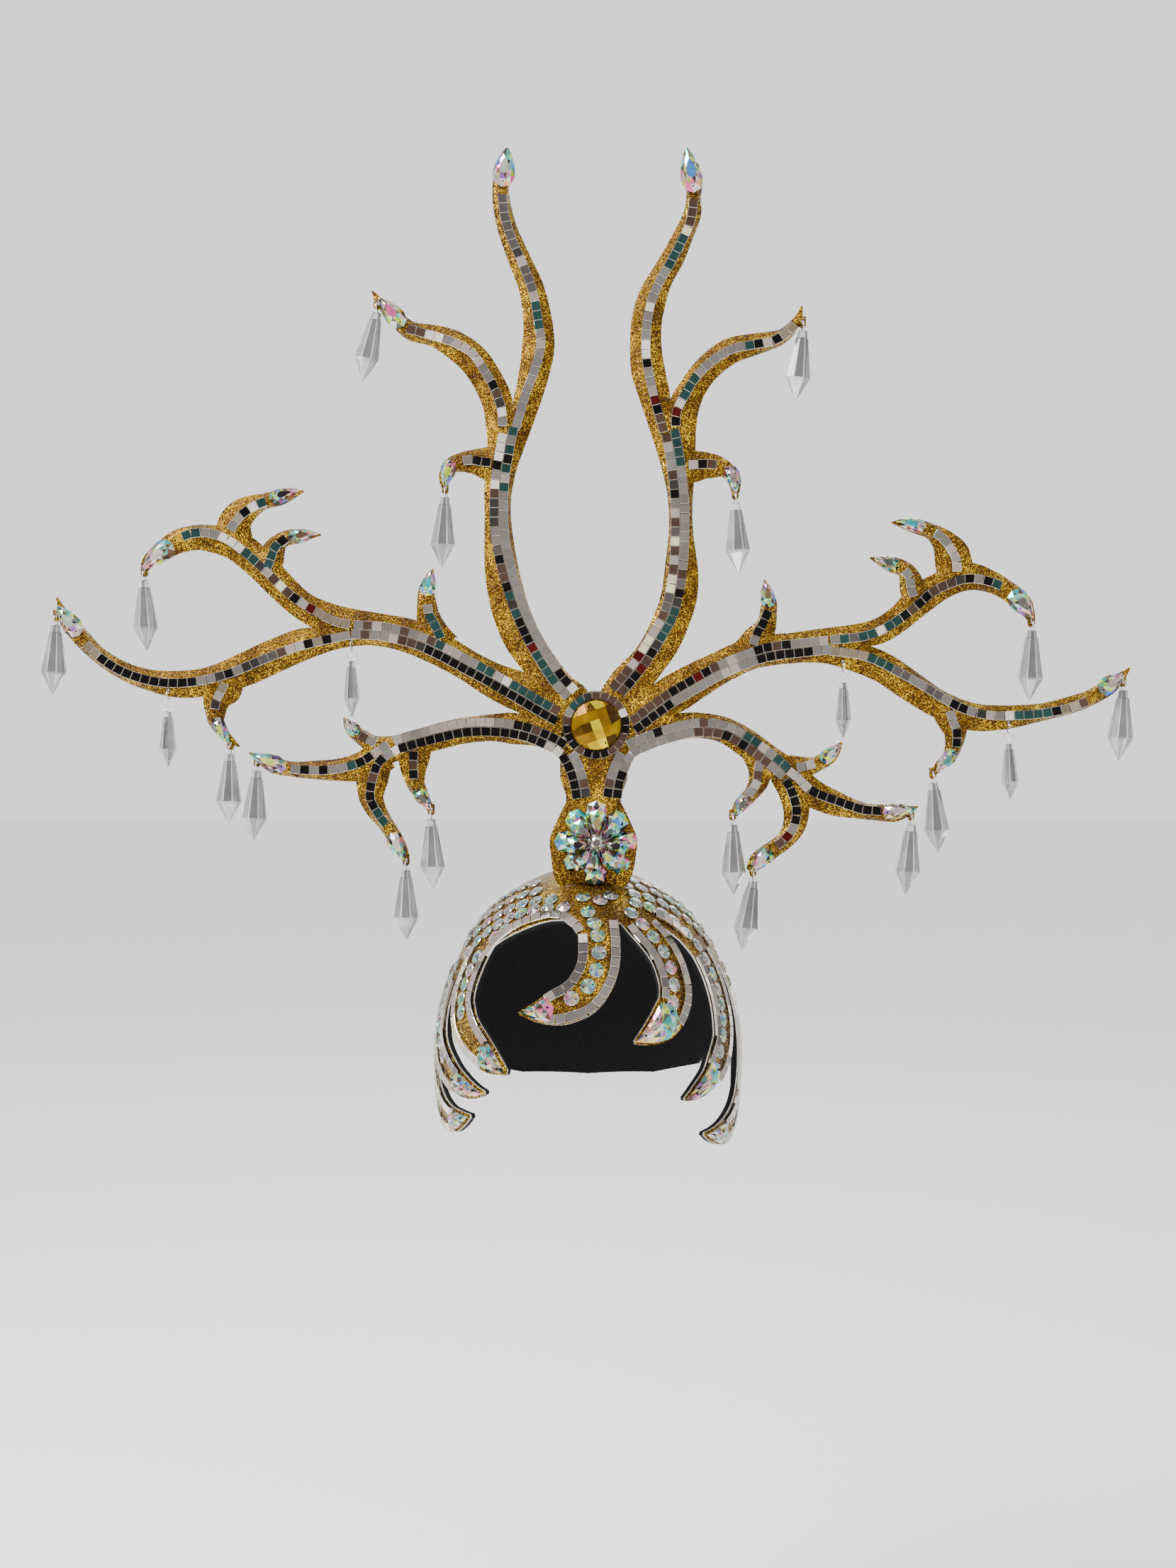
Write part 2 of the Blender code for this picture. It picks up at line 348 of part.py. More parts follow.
# Helpers
def clear_scene():
    for thing in list(bpy.data.objects):
        bpy.data.objects.remove(thing, do_unlink=True)
    for mesh in list(bpy.data.meshes):
        bpy.data.meshes.remove(mesh)


def material(name, kind):
    colour, rough, metal = COLOURS[kind]
    made = bpy.data.materials.new(name + "_material")
    made.use_nodes = True
    shader = made.node_tree.nodes["Principled BSDF"]
    shader.inputs["Base Color"].default_value = (*colour, 1.0)
    shader.inputs["Roughness"].default_value = rough
    shader.inputs["Metallic"].default_value = metal
    made.diffuse_color = (*colour, 1.0)
    return made


def place(name, bm, kind, at=(0, 0, 0)):
    bmesh.ops.recalc_face_normals(bm, faces=bm.faces[:])
    if bm.calc_volume(signed=True) < 0:
        bmesh.ops.reverse_faces(bm, faces=bm.faces[:])
    mesh = bpy.data.meshes.new(name)
    bm.to_mesh(mesh)
    bm.free()
    mesh.materials.append(material(name, kind))
    thing = bpy.data.objects.new(name, mesh)
    thing.location = at
    bpy.context.scene.collection.objects.link(thing)
    return thing


def spline(rows, steps):
    """Smooth curve through the rows of a table (Catmull-Rom), every column alike."""
    rows = [tuple(float(v) for v in row) for row in rows]
    ends = [rows[0]] + rows + [rows[-1]]
    out = []
    for i in range(1, len(ends) - 2):
        a, b, c, d = ends[i - 1:i + 3]
        for k in range(steps):
            t = k / steps
            out.append(tuple(
                0.5 * (2 * q + (r - p) * t + (2 * p - 5 * q + 4 * r - s) * t * t
                       + (3 * q - p - 3 * r + s) * t ** 3)
                for p, q, r, s in zip(a, b, c, d)))
    out.append(rows[-1])
    return out


def plane_point(x, z):
    return Vector((HUB_X + x * 0.01 * FRAME_SPAN, HUB_Z + z * 0.01 * TREE_RISE))


def band(points, left, right):
    """Convex pieces of a ribbon along plane points, with its reach on each side."""
    n = len(points)
    sides = []
    for i in range(n):
        ahead = points[min(i + 1, n - 1)] - points[max(i - 1, 0)]
        ahead.normalize()
        across = Vector((-ahead.y, ahead.x))
        sides.append((points[i] + across * left[i], points[i] - across * right[i]))
    pieces = []
    for (l0, r0), (l1, r1) in zip(sides, sides[1:]):
        quad = [l0, r0, r1, l1]
        pieces.append([quad[k] for k in convex_hull_2d(quad)])
    return pieces


def disc(centre, radius, count, turn=0.0):
    return [centre + radius * Vector((math.cos(turn + 2 * math.pi * k / count),
                                      math.sin(turn + 2 * math.pi * k / count)))
            for k in range(count)]


def turning(poly):
    return sum(a.x * b.y - b.x * a.y for a, b in zip(poly, poly[1:] + poly[:1]))


def outline(polys, keep=0.0007):
    """Boundary loops of the union of convex polygons, thinned where nearly straight."""
    verts, faces = [], []
    for poly in polys:
        if abs(turning(poly)) < 1e-9:
            continue
        if turning(poly) < 0:
            poly = poly[::-1]
        faces.append(list(range(len(verts), len(verts) + len(poly))))
        verts.extend(poly)
    got = delaunay_2d_cdt(verts, [], faces, 0, 1e-6, True)
    count = {}
    for face, origin in zip(got[2], got[5]):
        if origin:
            for a, b in zip(face, face[1:] + face[:1]):
                count[(a, b)] = 1
    nexts = {}
    for a, b in count:
        if (b, a) not in count:
            nexts.setdefault(a, []).append(b)
    loops = []
    while nexts:
        start = next(iter(nexts))
        loop, here = [start], nexts[start].pop()
        if not nexts[start]:
            del nexts[start]
        while here != start:
            loop.append(here)
            options = nexts[here]
            if len(options) > 1:
                back = got[0][loop[-2]] - got[0][here]
                options.sort(key=lambda o: (got[0][o] - got[0][here]).angle_signed(back)
                             % (2 * math.pi))
            follow = options.pop(0)
            if not options:
                del nexts[here]
            here = follow
        loops.append(thin([got[0][i] for i in loop], keep))
    return [loop for loop in loops if len(loop) > 2 and abs(turning(loop)) > 4e-6]


def thin(loop, keep):
    """Drop the points of a loop that lie within keep of the line through those that stay."""
    far = max(range(len(loop)), key=lambda i: (loop[i] - loop[0]).length)
    halves = (loop[:far + 1], loop[far:] + loop[:1])
    out = []
    for half in halves:
        stay = {0, len(half) - 1}
        spans = [(0, len(half) - 1)]
        while spans:
            first, last = spans.pop()
            side = half[last] - half[first]
            worst, where = keep, None
            for i in range(first + 1, last):
                off = half[i] - half[first]
                away = abs(off.x * side.y - off.y * side.x) / max(side.length, 1e-9)
                if away > worst:
                    worst, where = away, i
            if where is not None:
                stay.add(where)
                spans += [(first, where), (where, last)]
        out += [half[i] for i in sorted(stay)][:-1]
    return out


def limit(loop, longest):
    """Points added along the loop so that no side is longer than this."""
    out = []
    for a, b in zip(loop, loop[1:] + loop[:1]):
        parts = max(1, math.ceil((b - a).length / longest))
        out += [a.lerp(b, k / parts) for k in range(parts)]
    return out


def inside(point, loops):
    odd = False
    for loop in loops:
        j = len(loop) - 1
        for i in range(len(loop)):
            a, b = loop[i], loop[j]
            if (a.y > point.y) != (b.y > point.y):
                if point.x < (b.x - a.x) * (point.y - a.y) / (b.y - a.y) + a.x:
                    odd = not odd
            j = i
    return odd


def fill(loops, extra=(), lines=()):
    """Points and triangles inside the loops. No triangle crosses one of the lines."""
    verts, edges = [], []
    for loop in loops:
        first = len(verts)
        verts.extend(loop)
        edges.extend((first + i, first + (i + 1) % len(loop)) for i in range(len(loop)))
    for ends in lines:
        edges.append((len(verts), len(verts) + 1))
        verts.extend(ends)
    verts.extend(extra)
    got = delaunay_2d_cdt(verts, edges, [], 0, 1e-7, True)
    points = got[0]
    triangles = []
    for face in got[2]:
        middle = sum((points[i] for i in face), Vector((0, 0))) / len(face)
        if inside(middle, loops):
            triangles.append(face)
    return points, triangles


def thick(points, triangles, outer, inner):
    """Closed body: the triangles on the outer surface, again on the inner, walls between."""
    bm = bmesh.new()
    used = sorted({i for tri in triangles for i in tri})
    top = {i: bm.verts.new(outer(points[i])) for i in used}
    low = {i: bm.verts.new(inner(points[i])) for i in used}
    seen = set()
    for tri in triangles:
        bm.faces.new([top[i] for i in tri])
        bm.faces.new([low[i] for i in reversed(tri)])
        for a, b in zip(tri, tri[1:] + tri[:1]):
            seen.add((a, b))
    for a, b in seen:
        if (b, a) not in seen:
            bm.faces.new((top[b], top[a], low[a], low[b]))
    bmesh.ops.triangulate(bm, faces=[f for f in bm.faces if len(f.verts) > 3])
    return bm


# The dome of the cap
def squareness(turn):
    """The dome is rounder at the sides and fuller at the front and back."""
    return 2.0 + 0.4 * math.cos(turn) ** 2


def dome(azimuth, drop, lift=0.0):
    """Point of the cap's outer surface, or lift metres outside it."""
    turn = math.radians(azimuth)
    power = squareness(turn)
    wide, deep, rise = CAP_WIDE + lift, CAP_DEEP + lift, CAP_RISE + lift
    if drop <= 1.0:
        lean = drop * math.pi / 2
        out = math.sin(lean) ** (2 / power)
        high = max(0.0, math.cos(lean)) ** (2 / power)
        z = CAP_TOP - CAP_RISE + rise * high
    else:
        down = (drop - 1.0) * ARC
        out = math.sqrt(max(0.0, 1 - (down / CAP_DROP) ** 2))
        z = CAP_TOP - CAP_RISE - down
    return Vector((wide * math.sin(turn) * out, -deep * math.cos(turn) * out, z))


def dome_height(x, y):
    """Height of the outer surface over a point of the crown."""
    turn = math.atan2(x / CAP_WIDE, -y / CAP_DEEP)
    power = squareness(turn)
    out = math.hypot(x / CAP_WIDE, y / CAP_DEEP)
    return CAP_TOP - CAP_RISE + CAP_RISE * max(0.0, 1 - min(out, 1.0) ** power) ** (1 / power)


def above_dome(point, y):
    """The plane point, lifted clear of the dome where it would lie inside it."""
    return Vector((point.x, max(point.y, dome_height(point.x, y) + GAP)))


def flat(azimuth, drop):
    """The cap laid out as a disc, the crown in the middle."""
    turn = math.radians(azimuth)
    return Vector((math.sin(turn), -math.cos(turn))) * drop


def unflat(point):
    return math.degrees(math.atan2(point.x, -point.y)), point.length


def around(azimuth, drop):
    """Metres of surface for one degree of azimuth at this drop."""
    lean = min(drop, 1.0) * math.pi / 2
    return math.radians(1) * 0.102 * math.sin(lean) ** 0.85


def curl_path(table, steps):
    path = []
    rows = spline(table, steps)
    n = len(rows)
    for i, (azimuth, drop, half) in enumerate(rows):
        before, after = rows[max(i - 1, 0)], rows[min(i + 1, n - 1)]
        scale = around(azimuth, drop)
        ahead = Vector(((after[0] - before[0]) * scale, (after[1] - before[1]) * ARC))
        ahead.normalize()
        path.append((azimuth, drop, half * 0.001, Vector((ahead.y, -ahead.x)), scale))
    return path


def beside(station, off):
    azimuth, drop, half, across, scale = station
    return flat(azimuth + across.x * off / scale, drop + across.y * off / ARC)


def strip(path, first, second):
    """Quads between two offsets from a curl's middle line, each a function of the half width."""
    quads = []
    for a, b in zip(path, path[1:]):
        quads.append([beside(a, first(a[2])), beside(a, second(a[2])),
                      beside(b, second(b[2])), beside(b, first(b[2]))])
    return quads


# Pieces
def make_cap():
    edge = []
    for (a0, d0), (a1, d1) in zip(HAIRLINE, HAIRLINE[1:]):
        parts = max(1, round((a1 - a0) / 12))
        for k in range(parts):
            s = k / parts
            edge.append(flat(a0 + (a1 - a0) * s, d0 + (d1 - d0) * s))
    middle = Vector((0, 0))
    polys = [[middle, a, b] for a, b in zip(edge, edge[1:] + edge[:1])]
    for table, _ in CURLS.values():
        path = curl_path(table, 2)
        polys.extend(strip(path, lambda h: -h, lambda h: h))
    loops = outline([[p * CUT_SCALE for p in poly] for poly in polys], 0.0006)
    loops = [max(loops, key=lambda loop: abs(turning(loop)))]
    extra = [Vector((0, 0))]
    level = 0.14
    while level < 1.28:
        count = 12 if level < 0.2 else 24 if level < 0.5 else 36
        for k in range(count):
            at = flat(360 * (k + 0.5) / count - 180, level) * CUT_SCALE
            near = min((at - p).length for p in loops[0])
            if inside(at, loops) and near > 0.012:
                extra.append(at)
        level += 0.12
    points, triangles = fill(loops, extra)
    bm = thick(points, triangles, lambda p: dome(*unflat(p / CUT_SCALE)),
               lambda p: dome(*unflat(p / CUT_SCALE), -CAP_WALL))
    return place("cap_shell", bm, "gold")


def make_curl_trim(name, table, stone_row):
    """The mirror edging of one curl, with its tip stone, as one body on the cap's surface."""
    steps = 2
    path = curl_path(table, steps)
    start = steps                       # the edging starts one row below the cap's body
    stone = stone_row * steps
    edge = TRIM_EDGE
    wide = TILE - 0.0002
    polys = strip(path[start:stone + 2], lambda h: -h + edge, lambda h: -h + edge + wide)
    polys += strip(path[start:stone + 2], lambda h: h - edge - wide, lambda h: h - edge)
    polys += strip(path[stone:], lambda h: -max(h - 0.001, 0.0006), lambda h: max(h - 0.001, 0.0006))
    loops = outline([[p * CUT_SCALE for p in poly] for poly in polys], 0.0005)
    loops = [limit(max(loops, key=lambda loop: abs(turning(loop))), 0.018)]
    table_ring = []
    crown = path[stone + 1:-2]
    for station in crown:
        table_ring.append(beside(station, station[2] * 0.42) * CUT_SCALE)
    for station in reversed(crown):
        table_ring.append(beside(station, -station[2] * 0.42) * CUT_SCALE)
    raised = {(round(p.x, 6), round(p.y, 6)) for p in table_ring}
    points, triangles = fill(loops, table_ring)

    def outer(p):
        on_table = (round(p.x, 6), round(p.y, 6)) in raised
        return dome(*unflat(p / CUT_SCALE), STONE_HIGH if on_table else TRIM_GLUE + TILE_THICK)

    bm = thick(points, triangles, outer, lambda p: dome(*unflat(p / CUT_SCALE), TRIM_GLUE))
    return place(name, bm, "mirror")


def on_seam(point, seams):
    """Whether the point lies in the gap that a seam leaves."""
    for top, foot in seams:
        down = foot - top
        off = point - top
        share = off.dot(down) / down.length_squared
        if 0 < share < 1 and (off - down * share).length < GAP / 2:
            return True
    return False


def apart(triangles):
    """The triangles in groups that share no point."""
    home = {}

    def root(i):
        while home.setdefault(i, i) != i:
            i = home[i]
        return i

    for a, b, c in triangles:
        home[root(a)] = root(b)
        home[root(b)] = root(c)
    groups = {}
    for t in triangles:
        groups.setdefault(root(t[0]), []).append(t)
    return list(groups.values())


def make_frame():
    polys = []
    for name, rows in LIMBS.items():
        smooth = spline(rows, 3)
        points = [plane_point(x, z) for x, z, _, _ in smooth]
        left = [max(r, 3) * 0.01 * LIMB_REACH for _, _, r, _ in smooth]
        right = [max(r, 3) * 0.01 * LIMB_REACH for _, _, _, r in smooth]
        polys.extend(band(points, left, right))
    polys.append(disc(plane_point(0, 0), HUB_RADIUS, 32))
    slots = []
    for x, z, _, _ in DROPS.values():
        ring = plane_point(x, z)
        polys.append([ring + Vector(p) for p in (
            (-0.0021, 0.0066), (-0.0021, 0.0010), (-0.0010, -0.0002),
            (0.0010, -0.0002), (0.0021, 0.0010), (0.0021, 0.0066))])
        middle = ring + Vector((0, 0.0030))
        slots.append([middle + Vector((SLOT_WIDE / 2 * a, 0.0014 * b)) for a, b in (
            (-1, -1), (-1, 1), (1, 1), (1, -1))])
    loops = outline(polys)
    body = max(loops, key=lambda loop: abs(turning(loop)))
    holes = [loop for loop in loops if loop is not body and abs(turning(loop)) > 4e-5]
    front = PLATE_BACK - PLATE_THICK
    edge = []
    for p, q in zip(body, body[1:] + body[:1]):
        parts = 1
        if p.y < dome_height(p.x, front) and q.y < dome_height(q.x, front):
            parts = math.ceil((q - p).length / FOOT_STEP)
        edge += [above_dome(p.lerp(q, k / parts), front) for k in range(parts)]
    seams = [(plane_point(*seam[:2]), plane_point(*seam[2:])) for seam in SEAMS]
    lines = []
    for top, foot in seams:
        aside = (foot - top).orthogonal().normalized() * GAP / 2
        lines += [(top + aside, foot + aside), (top - aside, foot - aside)]
    points, triangles = fill([edge] + holes + slots, (), lines)
    triangles = [t for t in triangles
                 if not on_seam((points[t[0]] + points[t[1]] + points[t[2]]) / 3, seams)]

    def face_at(y):
        def put(p):
            at = above_dome(p, y)
            return Vector((at.x, y, at.y))
        return put

    pieces = sorted(apart(triangles), key=lambda piece: min(points[i].x for t in piece for i in t))
    for name, piece in zip(("left_branches", "branch_frame", "right_branches"), pieces):
        place(name, thick(points, piece, face_at(front), face_at(PLATE_BACK)), "gold")


def flower_middle():
    """The flower stands just clear of the dome, on the frame's middle line."""
    x = plane_point(0.04, 0).x
    floor = dome_height(x, PLATE_BACK - PLATE_THICK)
    return Vector((x, floor + FLOWER_CLEAR + FLOWER_WIDE / 2))


def row_line(rows, steps):
    """Middle line of a row of tiles. A row that opens with None starts on the tile ring, and
    one with no first height starts just above the flower."""
    given = [row for row in rows if row]
    if given[0][1] is None:
        start = flower_middle().y + FLOWER_WIDE / 2 + ROW_CLEAR
        given[0] = (given[0][0], (start - HUB_Z) / TREE_RISE * 100)
    points = [plane_point(x, z) for x, z in spline(given, steps)]
    if rows[0] is None:
        hub = plane_point(0, 0)
        points.insert(0, hub + (points[0] - hub).normalized() * TILE_RING)
    return points


def make_rows():
    polys = []
    half = TILE / 2
    hub = plane_point(0, 0)
    for name, (wide, rows) in ROWS.items():
        points = row_line(rows, 1)
        reach = [half * wide] * len(points)
        polys.extend(band(points, reach, reach))
        if name in ("left_lower_pair", "right_lower_pair"):
            # one tile stands between the ring and the place where the pair passes it
            near = min(points, key=lambda p: (p - hub).length)
            on_ring = hub + (near - hub).normalized() * TILE_RING
            polys.extend(band([on_ring, near], [half, half], [half, half]))
    inner, outer = TILE_RING - half + 0.0001, TILE_RING + half - 0.0001
    ring_in, ring_out = disc(hub, inner, 24), disc(hub, outer, 24)
    for k in range(24):
        j = (k + 1) % 24
        polys.append([ring_in[k], ring_in[j], ring_out[j], ring_out[k]])
    loops = outline(polys, 0.0008)
    body = max(loops, key=lambda loop: abs(turning(loop)))
    holes = [loop for loop in loops if loop is not body and abs(turning(loop)) > 4e-5]
    loops = [body] + holes
    points, triangles = fill(loops)
    front = PLATE_BACK - PLATE_THICK - GAP
    triangles = [t for t in triangles
                 if ((points[t[0]] + points[t[1]] + points[t[2]]) / 3 - hub).length > inner * 0.97]
    bm = thick(points, triangles, lambda p: Vector((p.x, front - TILE_THICK, p.y)),
               lambda p: Vector((p.x, front, p.y)))
    return place("mirror_rows", bm, "mirror")


def rings_body(rings):
    """Closed body through rings of equal count; a ring of one point is a tip."""
    bm = bmesh.new()
    made = [[bm.verts.new(p) for p in ring] for ring in rings]
    for a, b in zip(made, made[1:]):
        n = max(len(a), len(b))
        for k in range(n):
            j = (k + 1) % n
            if len(a) == 1:
                bm.faces.new((a[0], b[k], b[j]))
            elif len(b) == 1:
                bm.faces.new((a[k], b[0], a[j]))
            else:
                bm.faces.new((a[k], b[k], b[j], a[j]))
    if len(made[0]) > 2:
        bm.faces.new(made[0])
    if len(made[-1]) > 2:
        bm.faces.new(reversed(made[-1]))
    bmesh.ops.triangulate(bm, faces=[f for f in bm.faces if len(f.verts) > 3])
    return bm


def teardrop(length, width):
    """Outline of a pear stone along +X, its round end at 0. Columns: along, half width."""
    shape = ((0.0, 0.46), (0.17, 0.94), (0.48, 0.94), (0.80, 0.42))
    upper = [(s * length, w * width / 2) for s, w in shape]
    return upper + [(length, 0.0)] + [(s, -w) for s, w in reversed(upper)]


def make_tip_stone(name, x0, z0, x1, z1, width):
    start, end = plane_point(x0, z0), plane_point(x1, z1)
    along = end - start
    length = along.length
    along.normalize()
    across = Vector((-along.y, along.x))
    base = PLATE_BACK - PLATE_THICK - GAP
    heart = (0.40 * length, 0.0)
    rings = []
    for scale, height in ((0.86, 0.0), (1.0, 0.0013), (0.52, STONE_HIGH)):
        ring = []
        for s, w in teardrop(length, width * 0.001):
            s, w = heart[0] + (s - heart[0]) * scale, w * scale
            at = start + along * s + across * w
            ring.append(Vector((at.x, base - height, at.y)))
        rings.append(ring)
    return place(name, rings_body(rings), "stone")


def make_amber():
    hub = plane_point(0, 0)
    base = PLATE_BACK - PLATE_THICK - GAP
    radius = AMBER_WIDE / 2
    rings = []
    # Columns: share of the radius, share of the height, turn in sixteenths of a circle
    for scale, height, turn in ((0.96, 0.0, 0), (1.0, 0.29, 0), (0.82, 0.69, 0.5), (0.50, 0.93, 0)):
        ring = disc(hub, radius * scale, 16, turn * 2 * math.pi / 16)
        rings.append([Vector((p.x, base - height * AMBER_HIGH, p.y)) for p in ring])
    return place("amber_stone", rings_body(rings), "amber")


def make_flower():
    """Two layers of pear petals round a button, fused by a common disc."""
    middle = flower_middle()
    base = PLATE_BACK - PLATE_THICK - GAP
    radius = FLOWER_WIDE / 2
    count = 8
    polys = [disc(middle, radius * 0.50, 16)]
    for k in range(count):
        turn = 2 * math.pi * k / count
        ahead = Vector((math.cos(turn), math.sin(turn)))
        side = Vector((-ahead.y, ahead.x))
        polys.append([middle + ahead * radius * s + side * radius * w for s, w in (
            (0.30, 0.10), (0.52, 0.23), (0.74, 0.28), (0.92, 0.20), (1.0, 0.0),
            (0.92, -0.20), (0.74, -0.28), (0.52, -0.23), (0.30, -0.10))][::-1])
    loops = outline(polys, 0.0001)
    loops = [max(loops, key=lambda loop: abs(turning(loop)))]
    heights = {}
    extra = []

    def add(point, height):
        extra.append(point)
        heights[(round(point.x, 6), round(point.y, 6))] = height

    add(middle, 0.0105)
    for p in disc(middle, radius * 0.13, 8):
        add(p, 0.0105)
    for p in disc(middle, radius * 0.20, 16):
        add(p, 0.0068)
    for k in range(count):
        for off, s, high in ((0, 0.60, 0.0052), (0, 0.82, 0.0052), (0.5, 0.36, 0.0078)):
            turn = 2 * math.pi * (k + off) / count
            add(middle + Vector((math.cos(turn), math.sin(turn))) * radius * s, high)
        turn = 2 * math.pi * (k + 0.5) / count
        add(middle + Vector((math.cos(turn), math.sin(turn))) * radius * 0.47, 0.0050)
    points, triangles = fill(loops, extra)

    def outer(p):
        high = heights.get((round(p.x, 6), round(p.y, 6)), 0.0024)
        return Vector((p.x, base - high, p.y))

    bm = thick(points, triangles, outer, lambda p: Vector((p.x, base, p.y)))
    return place("flower_brooch", bm, "stone")


def make_brace():
    """Plain wedge behind the lobe that carries the frame on the crown of the cap."""
    half, high, back = 0.014, 0.046, 0.024
    near = PLATE_BACK + GAP
    bm = bmesh.new()
    across, along = 3, 4
    low, top = [], []
    for i in range(across):
        x = HUB_X + half * (2 * i / (across - 1) - 1)
        low_row, top_row = [], []
        for j in range(along):
            s = j / (along - 1)
            y = near + back * s
            floor = dome_height(x, y) + 2 * GAP
            low_row.append(bm.verts.new((x, y, floor)))
            top_row.append(bm.verts.new((x, y, floor + 0.003 + (high - floor - 0.003) * (1 - s) ** 1.6)))
        low.append(low_row)
        top.append(top_row)
    for i in range(across - 1):
        for j in range(along - 1):
            bm.faces.new((low[i][j], low[i][j + 1], low[i + 1][j + 1], low[i + 1][j]))
            bm.faces.new((top[i][j], top[i + 1][j], top[i + 1][j + 1], top[i][j + 1]))
    for j in range(along - 1):
        for i in (0, across - 1):
            bm.faces.new((low[i][j], low[i][j + 1], top[i][j + 1], top[i][j]))
    for i in range(across - 1):
        for j in (0, along - 1):
            bm.faces.new((low[i][j], low[i + 1][j], top[i + 1][j], top[i][j]))
    bmesh.ops.triangulate(bm, faces=bm.faces[:])
    return place("back_brace", bm, "gold")


def torus(centre, axis):
    """Jump ring of 10 by 4 faces round the axis."""
    bm = bmesh.new()
    grid = []
    for i in range(10):
        big = 2 * math.pi * (i + 0.5) / 10
        row = []
        for j in range(4):
            small = 2 * math.pi * (j + 0.5) / 4
            out = RING_MEAN + RING_WIRE * math.cos(small)
            off = RING_WIRE * math.sin(small)
            if axis == "X":
                at = Vector((off, out * math.cos(big), out * math.sin(big)))
            else:
                at = Vector((out * math.cos(big), off, out * math.sin(big)))
            row.append(bm.verts.new(centre + at))
        grid.append(row)
    for i in range(10):
        for j in range(4):
            bm.faces.new((grid[i][j], grid[(i + 1) % 10][j],
                          grid[(i + 1) % 10][(j + 1) % 4], grid[i][(j + 1) % 4]))
    bmesh.ops.recalc_face_normals(bm, faces=bm.faces[:])
    return bm


def crystal(length, lean, turned):
    """Eight-sided drop hanging from the origin's jump ring, leaning lean metres sideways."""
    start = Vector((0, 0, -0.0026 - (0.0070 if turned else 0.0)))
    # Columns: share of the length, share of the half width, share of the half depth
    sections = ((0.0, 0.30, 0.34), (0.09, 0.42, 0.46), (0.75, 1.0, 1.0))
    angle = math.asin(max(-0.4, min(0.4, lean / length)))
    turn = Matrix.Rotation(-angle, 3, "Y")
    rings = []
    for s, wide, deep in sections:
        ring = []
        for k in range(8):
            a = 2 * math.pi * (k + 0.5) / 8
            x = DROP_HALF * wide * math.cos(a) / math.cos(math.pi / 8)
            y = DROP_HALF_DEEP * deep * math.sin(a) / math.cos(math.pi / 8)
            if turned:
                x, y = y, x
            ring.append(start + turn @ Vector((x, y, -length * s)))
        rings.append(ring)
    rings.append([start + turn @ Vector((0, 0, -length))])
    bm = rings_body(rings)
    bmesh.ops.recalc_face_normals(bm, faces=bm.faces[:])
    return bm


def temporary(bm, name):
    mesh = bpy.data.meshes.new(name)
    bm.to_mesh(mesh)
    bm.free()
    thing = bpy.data.objects.new(name, mesh)
    bpy.context.scene.collection.objects.link(thing)
    return thing


def fused(bodies, name):
    """One body from several that run into each other."""
    parts = [temporary(bm, name + "_work_" + str(i)) for i, bm in enumerate(bodies)]
    main = parts[0]
    for other in parts[1:]:
        join = main.modifiers.new("join", "BOOLEAN")
        join.operation = "UNION"
        join.solver = "EXACT"
        join.object = other
    bpy.context.view_layer.update()
    seen = main.evaluated_get(bpy.context.evaluated_depsgraph_get())
    mesh = bpy.data.meshes.new_from_object(seen)
    bm = bmesh.new()
    bm.from_mesh(mesh)
    for part in parts:
        bpy.data.objects.remove(part, do_unlink=True)
    bmesh.ops.triangulate(bm, faces=[f for f in bm.faces if len(f.verts) > 3])
    bmesh.ops.remove_doubles(bm, verts=bm.verts[:], dist=2e-5)
    return bm


def make_drop(name, x, z, lean, turned):
    """A jump ring through the plate with its crystal; the origin is the ring's middle."""
    at = plane_point(x, z)
    ring = torus(Vector((0, 0, 0)), "X")
    length = DROP_SHORT if turned else DROP_LONG
    bodies = [crystal(length, lean * 0.001, bool(turned)), ring]
    if turned:
        bodies.append(torus(Vector((0, 0, -2 * RING_MEAN + 0.0004)), "Y"))
    return place(name, fused(bodies, name), "crystal", (at.x, PLATE_BACK - PLATE_THICK / 2, at.y))


def main():
    clear_scene()
    make_cap()
    for name, (table, stone_row) in CURLS.items():
        make_curl_trim(name, table, stone_row)
    make_frame()
    make_rows()
    make_amber()
    make_flower()
    make_brace()
    for name, row in TIP_STONES.items():
        make_tip_stone(name, *row)
    for name, row in DROPS.items():
        make_drop(name, *row)


main()
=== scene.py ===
# Looks for the carnival crown: glittered foam, mirror tiles, coated stones and glass drops, all
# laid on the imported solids. Metres, +Z up, the front faces -Y.
import math
import random

import bpy
import bmesh
from mathutils import Matrix, Vector
from mathutils.geometry import convex_hull_2d, delaunay_2d_cdt


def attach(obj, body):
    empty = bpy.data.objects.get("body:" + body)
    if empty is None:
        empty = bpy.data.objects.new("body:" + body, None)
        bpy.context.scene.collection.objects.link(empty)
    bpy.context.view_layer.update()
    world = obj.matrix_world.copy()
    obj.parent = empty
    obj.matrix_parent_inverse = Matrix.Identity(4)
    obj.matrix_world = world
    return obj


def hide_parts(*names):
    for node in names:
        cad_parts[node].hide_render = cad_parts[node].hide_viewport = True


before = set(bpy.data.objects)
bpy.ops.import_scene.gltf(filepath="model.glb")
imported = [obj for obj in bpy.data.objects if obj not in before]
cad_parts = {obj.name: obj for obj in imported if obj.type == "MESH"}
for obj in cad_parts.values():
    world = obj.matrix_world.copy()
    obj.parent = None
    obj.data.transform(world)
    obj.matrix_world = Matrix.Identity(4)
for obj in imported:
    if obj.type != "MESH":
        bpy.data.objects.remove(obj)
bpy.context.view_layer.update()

# Sizes of the frame
FRAME_SPAN = 0.660        # the antler frame from its left tip to its right tip
TREE_RISE = 0.355         # from the middle of the amber stone to the top of the antlers
LIMB_REACH = 0.010        # limb margins are hundredths of this length
HUB_X = 0.005             # the frame stands 5 mm right of the cap's middle
HUB_Z = 0.0933            # height of the amber stone's middle
